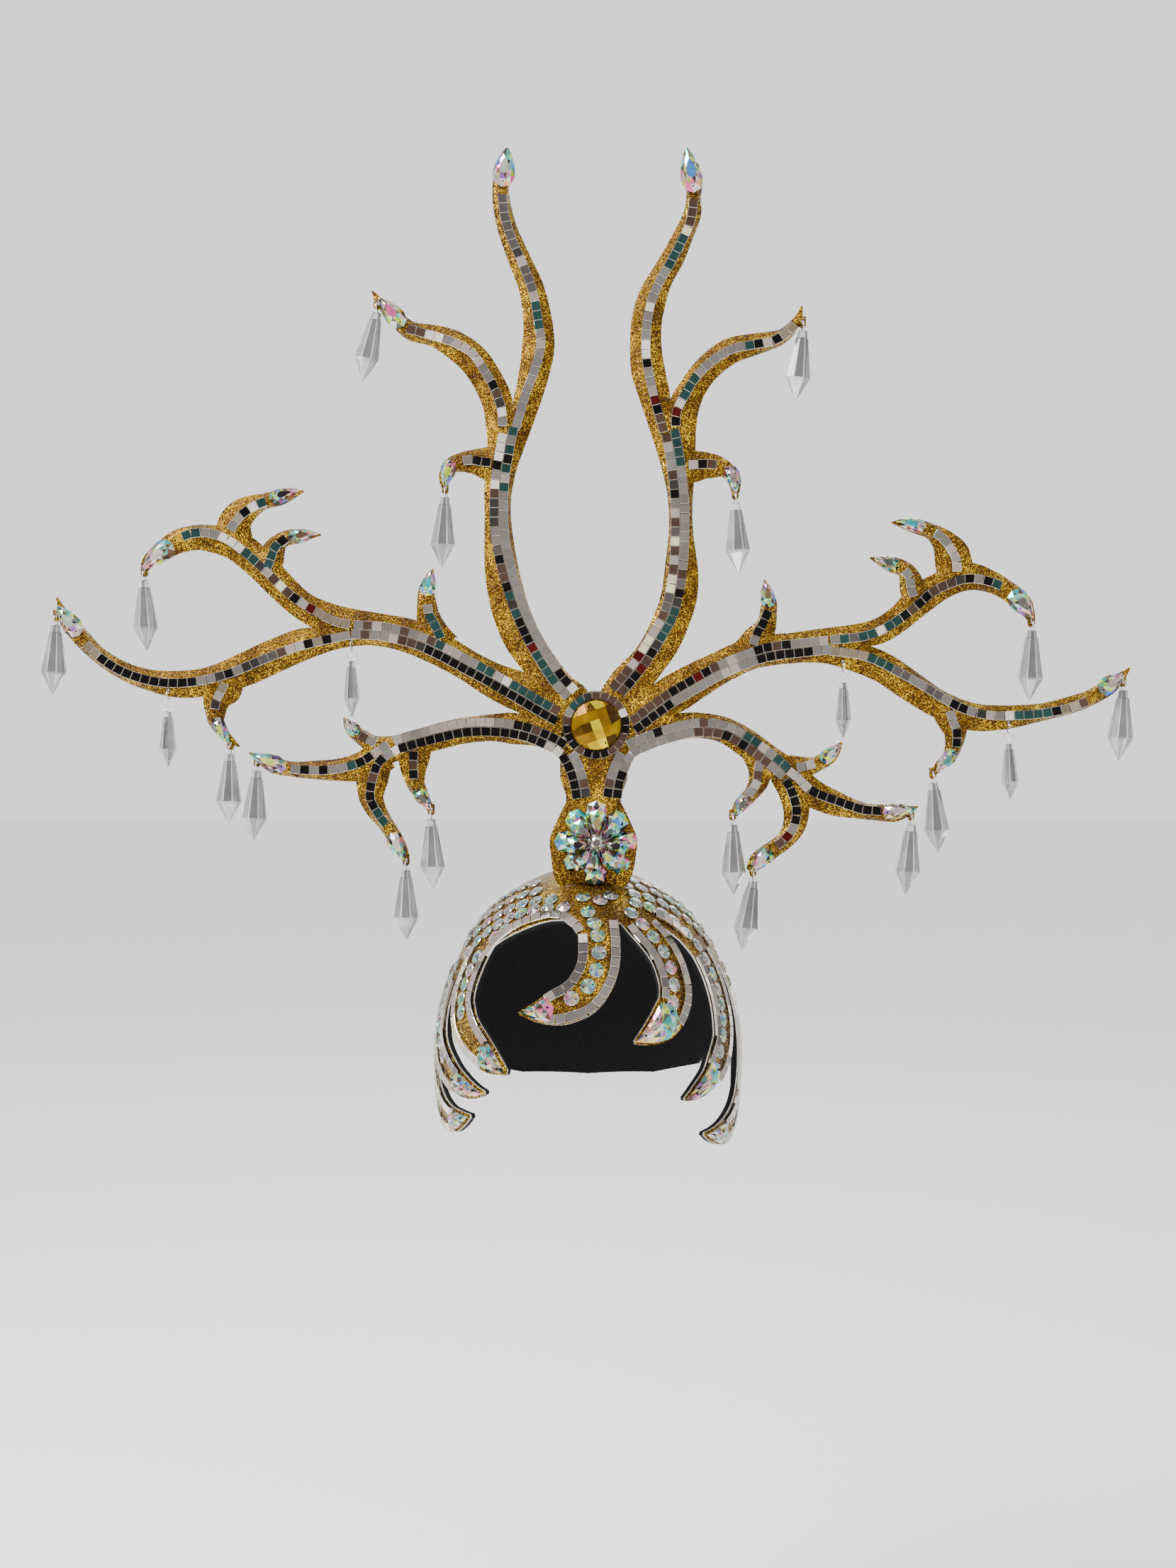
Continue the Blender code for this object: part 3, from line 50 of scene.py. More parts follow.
HUB_RADIUS = 0.0215
PLATE_BACK = -0.0475      # back face of the frame plate
PLATE_THICK = 0.005       # thickness of the frame plate
GAP = 0.0003              # glue gap between touching pieces
FRONT = PLATE_BACK - PLATE_THICK
SEAT = FRONT - GAP        # tiles and stones start here
TOWARDS = Vector((0, -1, 0))
BEVEL = 0.0030            # the frame's front slopes back by this from the tile rows to its edge
CREASE = math.radians(50)  # foam is shaded smooth up to this angle
KEEP = 0.00012            # corners of an outline nearer than this to a straight side go
FRAME_SIDE = 0.003        # longest side of the frame's outline
RIDGE_SIDE = 0.004        # and of the outline of its ridge
NECK_RIDGE = 0.004        # half the ridge's width between the amber stone and the flower
FLOWER_RIDGE = 0.0185     # radius of the ridge under the flower
SMALL_HOLE = 4e-5         # gaps between limbs below half this area are filled

# Sizes of the cap
CAP_WIDE = 0.097          # half width of the cap, outside
CAP_DEEP = 0.108          # half length of the cap, outside
CAP_RISE = 0.118          # crown to the widest level
CAP_DROP = 0.170          # lower half-axis below the widest level
CAP_WALL = 0.004          # foam thickness
CAP_LEVEL = CAP_WALL - CAP_RISE   # height of the widest level
CAP_MIDDLE = Vector((0, 0, CAP_LEVEL))
CAP_MEAN = 0.102          # mean radius of the widest level
ARC = 0.170               # length along the surface for one unit of the drop share
CUT_SCALE = 0.2           # metres in the flat cutting disc for one unit of the drop share
CUT_SIDE = 0.006          # longest side of the cap's outline on that disc
CUT_RINGS = 0.042         # drop share between the rings of points inside the outline
CUT_MARGIN = 0.0035       # and from them to the outline
SKIN = 0.0010             # gold outer layer of the cap, over a black lining
TRIM_GLUE = 0.0006        # tiles stand this far off the cap's foam

# Sizes of the tiles
TILE = 0.0052             # tile with its joint in the solids
TILE_SIDE = 0.00558       # side of a tile as it is laid here
TILE_THICK = 0.0015
TILE_EDGE = 0.00014       # ground edge of a mirror tile
TILE_PITCH = 0.00580      # middle to middle of two tiles on the frame
CAP_PITCH = 0.00625       # and on the cap
CROWDED = 0.72            # a tile closer to another than this share of the pitch is left out
STAGGER = 0.00003         # neighbours stand on three levels this far apart

# Sizes of the stones
AMBER_WIDE = 0.030
AMBER_RIM = 0.0022        # height of the amber stone's rim
AMBER_CROWN = 0.0050      # its middle stands this far above the rim
TILE_RING = AMBER_WIDE / 2 + 0.0031   # middle of the ring of tiles round the amber stone
FLOWER_WIDE = 0.052
FLOWER_CLEAR = 0.0006     # from the dome at the plate's face up to the lowest petal
ROW_CLEAR = 0.0014        # from the top petal up to the rows of tiles above it
STONE_HIGH = 0.0046       # table of a tip stone above its base
ROUND_STONE = 0.0046      # radius of the sew-on stones on the cap
ROUND_HIGH = 0.0021

# Sizes of the drops
RING_MEAN = 0.00355       # jump ring, middle of the wire
RING_WIRE = 0.00045       # half the wire
GLASS_LOOP = 0.0009       # half the wire of the face-on loop over a narrow drop
SLOT_WIDE = 0.0018        # hole in the plate for a jump ring
SLOT_HALF_HIGH = 0.0014
SLOT_UP = 0.0030          # the slot's middle above the ring's middle
DROP_LONG = 0.043
DROP_SHORT = 0.034
DROP_DOWN = 0.0026        # a drop starts this far below its ring's middle
LOOP_DOWN = 0.0070        # and a narrow one this much lower still


# The antler frame
def numbered(kind, sides):
    """Each row under its piece's name: the kind, the side and a number from 01."""
    return {f"{kind}_{side}_{n:02d}": row
            for side, rows in sides.items() for n, row in enumerate(rows, 1)}


# Each limb runs from the hub to its tip. Columns: x in % of FRAME_SPAN, z in % of TREE_RISE
# from the hub, then the plate's reach to the left and right of the travel in % of LIMB_REACH.
LIMBS = {
    "left_antler": ((-1.1, 3.5, 60, 55), (-1.6, 5.5, 60, 55), (-3.1, 8, 60, 47), (-5.35, 14, 60, 45),
        (-6.9, 20, 60, 48), (-8.15, 28, 55, 54), (-8.6, 37, 55, 42), (-8.4, 44, 55, 58),
        (-7.4, 52, 55, 90), (-6.2, 59, 80, 97), (-5.25, 65, 112, 88), (-5.4, 70, 92, 87),
        (-6.1, 76, 74, 80), (-7.4, 82, 68, 66), (-8.3, 87, 66, 52), (-8.7, 92, 66, 40),
        (-8.65, 96.5, 50, 42), (-8.2, 100.1, 4, 4)),
    "left_side_branch": ((-1.5, 2.6, 60, 30), (-2.6, 4.5, 70, 30), (-4.1, 8, 100, 30),
        (-6.2, 14, 132, 30), (-7.3, 18, 135, 30), (-8.3, 22, 113, 40), (-9.1, 28, 88, 40),
        (-9.5, 36, 60, 40), (-9.35, 42, 72, 40), (-8.95, 48, 80, 40), (-8.75, 52, 102, 60),
        (-9.05, 56, 104, 85), (-10, 60, 102, 85), (-11.3, 63.8, 108, 80), (-13.2, 66, 88, 88),
        (-15.2, 67.3, 52, 80), (-17.3, 68.6, 58, 55), (-18.9, 71, 42, 45), (-20.2, 73.5, 26, 26),
        (-20.9, 75.4, 4, 4)),
    "left_stub": ((-9.3, 45.3, 100, 100), (-10.3, 45.4, 95, 105), (-11.3, 45.7, 75, 82),
        (-12.6, 45.6, 55, 62), (-13.6, 44.9, 42, 50), (-14.1, 43, 35, 40), (-14.15, 41.4, 22, 22)),
    "left_middle": ((-1.6, 1, 60, 60), (-2.9, 2.0, 60, 60), (-5, 4, 60, 90), (-7.2, 6.6, 60, 100),
        (-9.4, 9, 60, 64), (-11.7, 11, 60, 68), (-13.9, 13, 60, 85), (-16.7, 15.6, 60, 90),
        (-20, 17, 60, 85), (-23, 17.5, 60, 100), (-25.2, 18.7, 90, 95), (-27.4, 21.1, 95, 78),
        (-29.5, 24.5, 95, 84), (-31.6, 28.2, 92, 100), (-33.8, 31.6, 100, 90), (-36.5, 33.3, 105, 55),
        (-38.7, 32.3, 80, 70), (-40.3, 30.6, 62, 60), (-41.7, 28.5, 35, 45), (-42.25, 26.8, 18, 20)),
    "left_outer": ((-2.3, -0.6, 50, 50), (-3.9, 0.6, 60, 50), (-6, 3, 60, 50), (-8.2, 5.6, 84, 50),
        (-10.3, 7.9, 85, 50), (-12.5, 9.8, 60, 50), (-15, 12.4, 65, 50), (-18, 14.5, 58, 50),
        (-21, 15.6, 60, 60), (-24, 15.2, 65, 60), (-27, 13.9, 82, 110), (-30, 12, 100, 108),
        (-33, 9.8, 110, 95), (-36, 7.9, 95, 82), (-39, 7.2, 85, 80), (-42, 7.9, 60, 68),
        (-44.5, 9.7, 50, 58), (-46.6, 12.5, 50, 48), (-48.3, 15.8, 55, 50), (-49.5, 18.5, 35, 35),
        (-50.35, 22.2, 4, 4)),
    "left_horn_outer": ((-34.1, 32.2, 90, 100), (-33.8, 34.3, 110, 120), (-33.1, 36.2, 108, 80),
        (-31.9, 37.7, 88, 45), (-30.9, 38.7, 58, 38), (-29.3, 39.6, 45, 42), (-27.3, 40.7, 4, 4)),
    "left_horn_inner": ((-30.8, 27.2, 90, 90), (-30.3, 29, 80, 78), (-29.9, 30.5, 78, 60),
        (-29.2, 31.9, 62, 35), (-28, 32.8, 45, 40), (-25.7, 33.1, 4, 4)),
    "left_spike": ((-14.4, 14.5, 100, 100), (-14.8, 16.7, 110, 60), (-15.4, 19, 93, 52),
        (-15.7, 21.3, 68, 52), (-15.85, 24, 42, 42), (-15.2, 27.2, 4, 4)),
    "left_hook_down": ((-34.4, 7.6, 100, 100), (-34.8, 6, 105, 110), (-35.3, 4.2, 72, 95),
        (-35.5, 2.3, 58, 68), (-35.4, 0.3, 45, 45), (-34.6, -1.8, 30, 32), (-33.3, -3.7, 4, 4)),
    "left_lower": ((-3.4, -3, 60, 60), (-5.3, -1.2, 90, 80), (-7.6, 0.1, 120, 75), (-10, 0.3, 107, 57),
        (-13, 0.1, 122, 38), (-15.5, -1, 125, 35), (-18, -2.3, 120, 32), (-20, -4, 110, 60),
        (-21.9, -6.4, 115, 65), (-24, -7.5, 78, 62), (-26.5, -7.8, 53, 58), (-28.5, -7.5, 50, 45),
        (-30.3, -6.7, 50, 45), (-32.4, -4.7, 4, 4)),
    "left_up_hook": ((-19.3, -3.3, 70, 50), (-20.6, -3, 75, 42), (-21.5, -2.2, 60, 40),
        (-22.6, -0.9, 45, 36), (-23.2, 0.2, 28, 24), (-23.55, 1.3, 4, 4)),
    "left_hook_outer": ((-19.6, -5.2, 90, 90), (-20.4, -6.6, 90, 110), (-20.8, -9.5, 90, 108),
        (-21, -12.3, 75, 78), (-20.5, -14.6, 60, 65), (-19.6, -16.8, 40, 55), (-18.8, -19.5, 46, 46),
        (-18.1, -21.8, 36, 34), (-17.7, -23.4, 20, 20)),
    "left_hook_inner": ((-17, -3.2, 110, 100), (-17, -5.4, 100, 100), (-17, -8, 72, 80),
        (-16.9, -10.2, 60, 52), (-16.2, -12.3, 40, 40), (-15.45, -14.6, 20, 20)),
    "right_antler": ((0.9, 3.5, 60, 60), (1.3, 5.5, 60, 60), (2.5, 8, 75, 60), (4.2, 12, 55, 60),
        (5.2, 15.3, 47, 60), (6.2, 19, 50, 60), (6.9, 23, 52, 50), (7.3, 28, 55, 50), (7.4, 34, 40, 50),
        (7.35, 39, 40, 50), (7.1, 43.5, 52, 50), (6.6, 48, 63, 50), (6.1, 52, 75, 60), (5.4, 57, 88, 100),
        (4.85, 61.5, 103, 105), (4.6, 66, 95, 98), (4.8, 70.5, 97, 90), (5.35, 74.3, 93, 84),
        (6.25, 77.5, 88, 61), (7.4, 81.5, 78, 62), (8.4, 85.2, 75, 47), (9.0, 88.7, 57, 53),
        (9.15, 92, 48, 44), (9.05, 95.5, 50, 52), (8.35, 100.2, 4, 4)),
    "right_side_branch": ((1.3, 2.6, 40, 60), (2.3, 4.5, 40, 60), (3.5, 8, 40, 110), (4.6, 10.5, 40, 112),
        (5.95, 14.5, 40, 122), (7.0, 18, 40, 112), (7.75, 22.5, 40, 112), (8.05, 27, 40, 98),
        (8.15, 33, 40, 62), (8.2, 38, 40, 52), (8.05, 43, 40, 75), (7.65, 48, 40, 110),
        (7.4, 52, 60, 130), (7.8, 55.5, 70, 122), (8.9, 59.2, 65, 102), (10.4, 62.3, 74, 88),
        (12.4, 64.9, 80, 80), (14.5, 65.8, 77, 58), (16.4, 66.5, 68, 40), (17.6, 67.7, 48, 38),
        (18.5, 69.6, 32, 34), (19.0, 71.2, 18, 20), (19.2, 72.8, 4, 4)),
    "right_stub": ((8.3, 45, 100, 100), (9.3, 45.1, 92, 100), (10.3, 45.2, 80, 82), (11.3, 45, 66, 72),
        (12.2, 44.2, 52, 45), (12.9, 42.6, 42, 42), (13.05, 40.4, 22, 22)),
    "right_middle": ((1.6, -0.2, 60, 60), (2.9, 0.8, 60, 60), (5.1, 3.6, 90, 50), (7.2, 5.9, 105, 50),
        (9.4, 8.3, 97, 50), (11.6, 10.6, 83, 50), (13.6, 12.1, 90, 50), (15.7, 13.3, 85, 50),
        (18.3, 14.1, 70, 50), (21, 14.6, 78, 50), (24.4, 15.2, 86, 60), (26.5, 16.3, 85, 75),
        (28.4, 18.6, 85, 78), (30.5, 21.7, 110, 78), (32.8, 24.3, 100, 70), (34.9, 25.4, 100, 67),
        (36.8, 24.8, 76, 60), (38.4, 23.4, 62, 58), (39.8, 21.3, 58, 56), (40.5, 19.3, 32, 35),
        (40.7, 18.0, 20, 20)),
    "right_outer": ((2.2, -2.2, 50, 50), (3.7, -1, 50, 50), (5.9, 2.2, 50, 60), (8, 5.2, 50, 88),
        (10, 7, 50, 65), (12.4, 9.4, 50, 55), (15, 11.25, 50, 47), (18.5, 12.4, 50, 56),
        (21.5, 12.8, 60, 73), (24.5, 12.1, 75, 103), (27, 10.4, 75, 112), (29.7, 7.5, 60, 125),
        (32.4, 4.4, 52, 120), (35.3, 2.1, 62, 108), (38.4, 1.7, 63, 82), (41.7, 2.1, 62, 46),
        (44.4, 3.2, 68, 39), (46.2, 4.5, 60, 38), (47.9, 6.7, 50, 48), (49, 8.4, 28, 28),
        (49.85, 10, 4, 4)),
    "right_horn_outer": ((33.7, 25.6, 110, 110), (33.5, 27.5, 115, 112), (33.1, 30, 105, 110),
        (32.4, 32.1, 75, 74), (31.2, 33.7, 45, 50), (29.6, 34.7, 42, 42), (27.6, 35.3, 4, 4)),
    "right_horn_inner": ((30, 21.4, 90, 90), (29.4, 23.4, 66, 85), (29.2, 25.2, 58, 80),
        (28.7, 26.9, 40, 60), (27.4, 28.1, 45, 45), (25.6, 29.1, 4, 4)),
    "right_spike": ((14.5, 13.6, 100, 100), (14.9, 15.6, 70, 110), (15.5, 17.6, 36, 92),
        (15.95, 19.6, 42, 64), (16.15, 22, 42, 42), (15.7, 25.3, 4, 4)),
    "right_hook_down": ((32.9, 2.8, 110, 100), (33.2, 0.9, 110, 90), (33.5, -1.2, 75, 65),
        (33.5, -3.2, 50, 58), (33, -5.4, 42, 42), (32.1, -7, 30, 30), (31.5, -8.2, 20, 20)),
    "right_lower": ((3, -4.2, 60, 60), (4.6, -1.9, 80, 80), (6.6, -0.4, 80, 92), (9.4, 0.4, 66, 92),
        (12, -0.3, 62, 98), (14.3, -2.3, 55, 120), (16.4, -5.2, 55, 120), (18.3, -8.4, 80, 110),
        (20.1, -11.4, 80, 95), (22.4, -13.2, 63, 90), (24.8, -14.5, 42, 62), (26.4, -14.9, 42, 58),
        (28.2, -15.2, 48, 50), (30.05, -14.1, 4, 4)),
    "right_up_hook": ((18.3, -7.6, 90, 60), (19.5, -7.1, 60, 70), (20.6, -6.6, 45, 52),
        (21.8, -5.4, 40, 45), (22.5, -4, 26, 28), (22.95, -2.9, 4, 4)),
    "right_hook_outer": ((17.6, -8.6, 110, 90), (18.2, -11.4, 110, 78), (18.6, -14.4, 88, 74),
        (18.3, -17.3, 84, 56), (17.5, -19.6, 70, 38), (16.3, -21.5, 62, 45), (15.1, -23.5, 55, 52),
        (14.35, -25.3, 24, 24)),
    "right_hook_inner": ((15.2, -5.4, 110, 110), (15.1, -7.8, 90, 58), (15, -9.8, 72, 52),
        (14.4, -11.8, 52, 40), (13.5, -13.8, 42, 42), (12.85, -15.5, 20, 20)),
    "neck_and_lobe": ((-0.1, -3, 210, 210), (-0.2, -9, 205, 208), (-0.25, -12.7, 168, 168),
        (-0.25, -15.5, 208, 208), (-0.25, -19.5, 268, 268), (-0.25, -22.5, 262, 262),
        (-0.3, -25.4, 246, 248), (-0.3, -27.2, 222, 224), (-0.3, -28.8, 190, 192), (-0.3, -34, 180, 182)),
}

# Mirror rows. Each has its width in tiles first: the trunk rows lie two side by side.
# Columns: x and z in % as above.
ROWS = {
    "left_antler_top": (1, ((-7.8, 49.5), (-7.3, 52.5), (-6.6, 57), (-5.6, 62), (-5.15, 66), (-5.4, 70),
        (-5.9, 75), (-6.9, 80), (-7.85, 84), (-8.5, 88), (-8.75, 92))),
    "left_branch_top": (1, ((-8.7, 50), (-8.75, 54), (-9.35, 57.8), (-10.3, 61), (-11.5, 64.2),
        (-13.2, 66.1), (-15.2, 67.3), (-17.4, 68.4))),
    "left_trunk": (2, (None, (-2.3, 5.4), (-3.55, 8), (-4.75, 11.3), (-5.9, 15), (-6.9, 19), (-7.7, 23),
        (-8.45, 28), (-8.95, 33), (-9.05, 38), (-8.9, 43), (-8.55, 47), (-8.15, 51))),
    "left_stub": (1, ((-8.9, 45.3), (-10.5, 45.5), (-11.6, 45.8), (-12.9, 45.5))),
    "left_middle_far": (1, ((-22, 17.2), (-24, 17.8), (-26, 19.6), (-27.6, 21.4), (-28.9, 23.3),
        (-30.2, 25.7), (-31.6, 28.2), (-33, 30.4), (-34.4, 32.2), (-36, 33.2), (-37.6, 33.1),
        (-38.8, 32.2))),
    "left_outer_far": (1, ((-22, 15.9), (-25, 14.8), (-28, 13.4), (-31, 11.3), (-34, 9), (-37, 7.6),
        (-40, 7.3), (-42.5, 8.2), (-44.6, 9.8), (-46.3, 12), (-47.7, 14.5))),
    "left_pair": (2, (None, (-3.4, 1.3), (-5, 3), (-7.2, 5.4), (-9.5, 7.9), (-12, 10.4), (-14.5, 12.9),
        (-17, 14.9), (-20, 16.2), (-23, 16.5))),
    "left_horn_outer": (1, ((-34.4, 32.2), (-33.7, 34.6), (-32.9, 36.4), (-31.9, 37.7), (-30.8, 38.6))),
    "left_horn_inner": (1, ((-30.6, 27), (-30.2, 29), (-29.8, 30.8), (-29.1, 31.9))),
    "left_spike": (1, ((-14.1, 13.4), (-14.9, 17), (-15.5, 19), (-15.75, 21.6))),
    "left_hook_down": (1, ((-34.1, 8.7), (-34.8, 6.2), (-35.3, 4.2), (-35.5, 2.1))),
    "left_lower_pair": (2, ((-1.35, None), (-1.6, -10), (-2.15, -6.9), (-3.05, -4.3), (-4.6, -2.6),
        (-6.5, -1.2), (-9, -0.4), (-12, -0.4), (-14.5, -1.3), (-17, -2.5), (-18.6, -3.4))),
    "left_lower_far": (1, ((-17.6, -2.6), (-19.3, -3.4), (-20.7, -5), (-22, -6.5), (-24, -7.5),
        (-26, -7.8), (-28.2, -7.6))),
    "left_up_hook": (1, ((-19.6, -3.6), (-20.6, -3), (-21.7, -2))),
    "left_hook_outer": (1, ((-18.2, -3.9), (-20, -6), (-20.7, -8.8), (-21, -12.4), (-20.3, -15.2),
        (-19.3, -17.7))),
    "left_hook_inner": (1, ((-16.9, -2.8), (-17, -7), (-16.9, -10.1))),
    "right_antler_top": (1, ((6.5, 49), (6.25, 51), (5.6, 55.2), (5, 60), (4.65, 64), (4.7, 69),
        (5.1, 73), (5.9, 76.6), (7, 80.2), (8, 83.8), (8.75, 87), (9.1, 91))),
    "right_branch_top": (1, ((7.45, 50), (7.45, 53.8), (8.2, 56.9), (9.3, 60.2), (10.6, 62.6),
        (12.4, 64.8), (14.5, 65.7), (16.4, 66.4), (17.7, 67.8), (18.4, 69))),
    "right_trunk": (2, (None, (1.7, 5.5), (2.9, 8), (4.25, 11.3), (5.6, 15.3), (6.7, 19), (7.35, 23.5),
        (7.7, 29), (7.8, 35), (7.75, 39.5), (7.5, 44), (7.15, 48), (6.85, 51))),
    "right_stub": (1, ((7.7, 44.9), (9.7, 45.1), (10.7, 45.1), (11.7, 44.8))),
    "right_middle_far": (1, ((20, 14.4), (23, 14.9), (25.2, 15.5), (26.9, 16.8), (28.4, 18.6),
        (29.8, 20.6), (31.2, 22.9), (32.8, 24.4), (34.6, 25.3), (36.4, 24.9), (38, 23.8))),
    "right_outer_far": (1, ((20, 12.9), (23, 12.6), (25.5, 11.6), (28, 9.3), (30.4, 6.8), (32.4, 4.5),
        (34.5, 2.6), (36.8, 1.7), (39.3, 1.7), (41.7, 2.1), (44, 3), (46.1, 4.5))),
    "right_pair": (2, (None, (3.1, -0.4), (3.9, 0.5), (5.3, 2.5), (6.9, 4.6), (9, 6.9), (11.2, 9.2),
        (13.5, 11.1), (16, 12.6), (18.8, 13.3), (21.5, 13.8))),
    "right_horn_outer": (1, ((33.5, 24.9), (33.5, 28), (33.1, 30), (32.3, 32.1), (31.2, 33.6))),
    "right_horn_inner": (1, ((29.8, 20.7), (29.3, 23.6), (29.1, 25.6), (28.5, 27.1))),
    "right_spike": (1, ((14.3, 12.3), (15, 16), (15.5, 17.6), (15.95, 19.6))),
    "right_hook_down": (1, ((32.7, 4.1), (33.1, 1.2), (33.5, -1), (33.5, -3.4))),
    "right_lower_pair": (2, ((1.5, None), (1.7, -10), (2.3, -6.8), (3.1, -4.3), (4.7, -2.8), (6.9, -1.4),
        (9.4, -0.4), (12, -0.9), (14.2, -3.1), (16.2, -5.9), (17.6, -8.2))),
    "right_lower_far": (1, ((17.2, -6.8), (18.6, -8.9), (20.1, -11.4), (22.4, -13.1), (24.6, -14.5),
        (26.1, -14.8))),
    "right_up_hook": (1, ((17.8, -7.8), (19.2, -7.2), (20.4, -6.6))),
    "right_hook_outer": (1, ((17, -8.2), (18, -10.8), (18.6, -14.4), (18.4, -17.3), (17.6, -19.6),
        (16.6, -21))),
    "right_hook_inner": (1, ((15.3, -4.6), (15.1, -7.8), (14.9, -10), (14.3, -11.8))),
}

# Tip stones. Columns: x and z of the round end, x and z of the point, all in %, width in mm.
TIP_STONES = numbered("tip_stone", {
    "left": ((-8.75, 93.0, -8.25, 99.9, 15.0), (-17.9, 68.9, -20.3, 74.0, 13.0),
        (-13.5, 45.9, -14.1, 41.1, 10.5), (-15.85, 22.3, -15.25, 27.0, 10.5),
        (-39.4, 31.5, -42.2, 27.0, 14.0), (-30.4, 39.0, -27.5, 40.7, 10.0),
        (-28.7, 32.4, -25.8, 33.1, 10.0), (-48.0, 15.5, -50.1, 20.6, 13.0),
        (-35.5, 1.3, -34.15, -3.2, 9.5), (-28.8, -7.5, -32.1, -5.0, 11.5), (-22.1, -1.6, -23.4, 1.1, 9.0),
        (-16.75, -11.0, -15.4, -14.6, 9.5), (-19.1, -18.6, -17.75, -23.3, 11.5)),
    "right": ((9.1, 92.0, 8.4, 99.9, 14.6), (12.4, 44.8, 13.05, 40.3, 10.5),
        (16.1, 20.3, 15.7, 25.1, 10.0), (38.6, 23.2, 40.65, 18.4, 14.0), (30.7, 34.1, 27.8, 35.3, 9.5),
        (28.2, 27.4, 25.8, 28.9, 10.0), (46.8, 5.7, 49.1, 9.0, 12.5), (33.4, -4.3, 31.6, -8.1, 9.5),
        (26.6, -15.2, 29.8, -14.4, 10.5), (20.9, -6.3, 22.75, -3.3, 9.5),
        (14.1, -12.2, 12.9, -15.5, 10.0), (16.2, -21.5, 14.35, -25.3, 12.0)),
})

# Hanging drops. Columns: x and z of the jump ring's middle in %, the drop's lean in mm over its
# length (plus is to the right), and 1 for a drop seen side-on below a second ring.
DROPS = numbered("drop", {
    "left": ((-50.4, 18.2, -2, 0), (-42.2, 25.9, 2, 0), (-39.95, 5.1, 0, 1), (-34.15, -4.2, -1, 0),
        (-31.65, -7.1, -2, 0), (-22.85, 13.8, 0.5, 1), (-17.75, -24.3, 0.5, 0), (-15.4, -15.5, 1.5, 0),
        (-14.1, 40.3, -2, 0), (-20.45, 72.3, -9, 0)),
    "right": ((19.28, 69.15, -4.5, 0), (13.0, 39.3, 2, 0), (40.65, 17.2, -1.5, 0), (49.2, 6.8, -3, 0),
        (38.5, -0.5, 1, 1), (31.45, -9.2, 3, 0), (29.4, -16.4, -3.5, 0), (23.05, 10.1, 0, 1),
        (12.75, -16.45, 0.5, 0), (14.65, -26.2, -7, 0)),
})

# Small pad of foam round each jump ring's slot, from the ring's middle.
RING_PAD = ((-0.0021, 0.0066), (-0.0021, 0.0010), (-0.0010, -0.0002),
            (0.0010, -0.0002), (0.0021, 0.0010), (0.0021, 0.0066))

# The cap
# Lower edge of the cap's body. Columns: azimuth in degrees from the front, plus to the right,
# and the drop share: 1 is the widest level.
HAIRLINE = (
    (-180, 1.20), (-150, 1.18), (-127, 1.12), (-113, 1.0), (-107, 0.86), (-103, 0.78), (-95, 0.74),
    (-83, 0.72), (-74, 0.68), (-66, 0.64), (-55, 0.62), (-46, 0.60), (-42, 0.575), (-37, 0.55),
    (-31, 0.525), (-24, 0.50), (-18, 0.487), (-12, 0.485), (-8, 0.50), (0, 0.51), (8, 0.51), (15, 0.50),
    (24, 0.50), (34, 0.51), (40, 0.53), (46, 0.575), (50, 0.63), (60, 0.66), (75, 0.68), (88, 0.72),
    (100, 0.78), (107, 0.86), (113, 1.0), (127, 1.12), (150, 1.18), (180, 1.20))

# Curls. Columns: azimuth, drop share, half width in mm. The stone starts at the row named last.
CURLS = {
    "curl_trim_1": (((-53, .55, 12), (-54.5, .62, 12), (-55.5, .69, 12), (-56, .76, 12), (-55, .82, 12),
        (-52, .87, 12), (-47.5, .91, 10.5), (-42, .943, 9), (-36, .972, 6), (-29.5, .997, 1)), 7),
    "curl_trim_2": (((3.5, .45, 13), (4.5, .52, 13), (4.7, .59, 13), (4.2, .66, 13), (2.2, .72, 13),
        (-1.5, .77, 12.5), (-6.5, .80, 11), (-12, .817, 9.5), (-18, .83, 6), (-25.5, .837, 1)), 7),
    "curl_trim_3": (((23.5, .46, 12), (27, .52, 12), (31, .58, 12), (33.8, .64, 12), (35, .70, 12),
        (35, .76, 12), (32.7, .817, 11), (28.5, .86, 10), (23, .893, 6.5), (16.5, .92, 1)), 6),
    "curl_trim_4": (((56, .56, 12.5), (59, .63, 12.5), (60.5, .71, 12.5), (61, .79, 12.5),
        (60.5, .87, 12.5), (58.5, .94, 11.5), (54, .995, 10.5), (48.5, 1.04, 8), (42, 1.075, 5),
        (36.5, 1.095, 1)), 6),
    "curl_trim_5": (((86, .66, 12), (87.5, .76, 12), (88, .86, 12), (87.5, .97, 12), (86, 1.07, 12),
        (81.5, 1.16, 12), (74, 1.22, 11.5), (64, 1.25, 9), (55, 1.25, 5), (48, 1.235, 1)), 7),
    "curl_trim_6": (((-73, .64, 11.5), (-74.5, .73, 11.5), (-75, .82, 11.5), (-74, .90, 11.5),
        (-70.5, .965, 11), (-65, 1.01, 10.5), (-58, 1.045, 9.5), (-50, 1.07, 7), (-44, 1.078, 4),
        (-39.5, 1.075, 1)), 6),
    "curl_trim_7": (((-92, .68, 12), (-92.5, .78, 12), (-92, .88, 12), (-90, .98, 12), (-86, 1.07, 12),
        (-80, 1.14, 12), (-71.5, 1.19, 11), (-62, 1.205, 8.5), (-54, 1.19, 5), (-48, 1.17, 1)), 7),
}


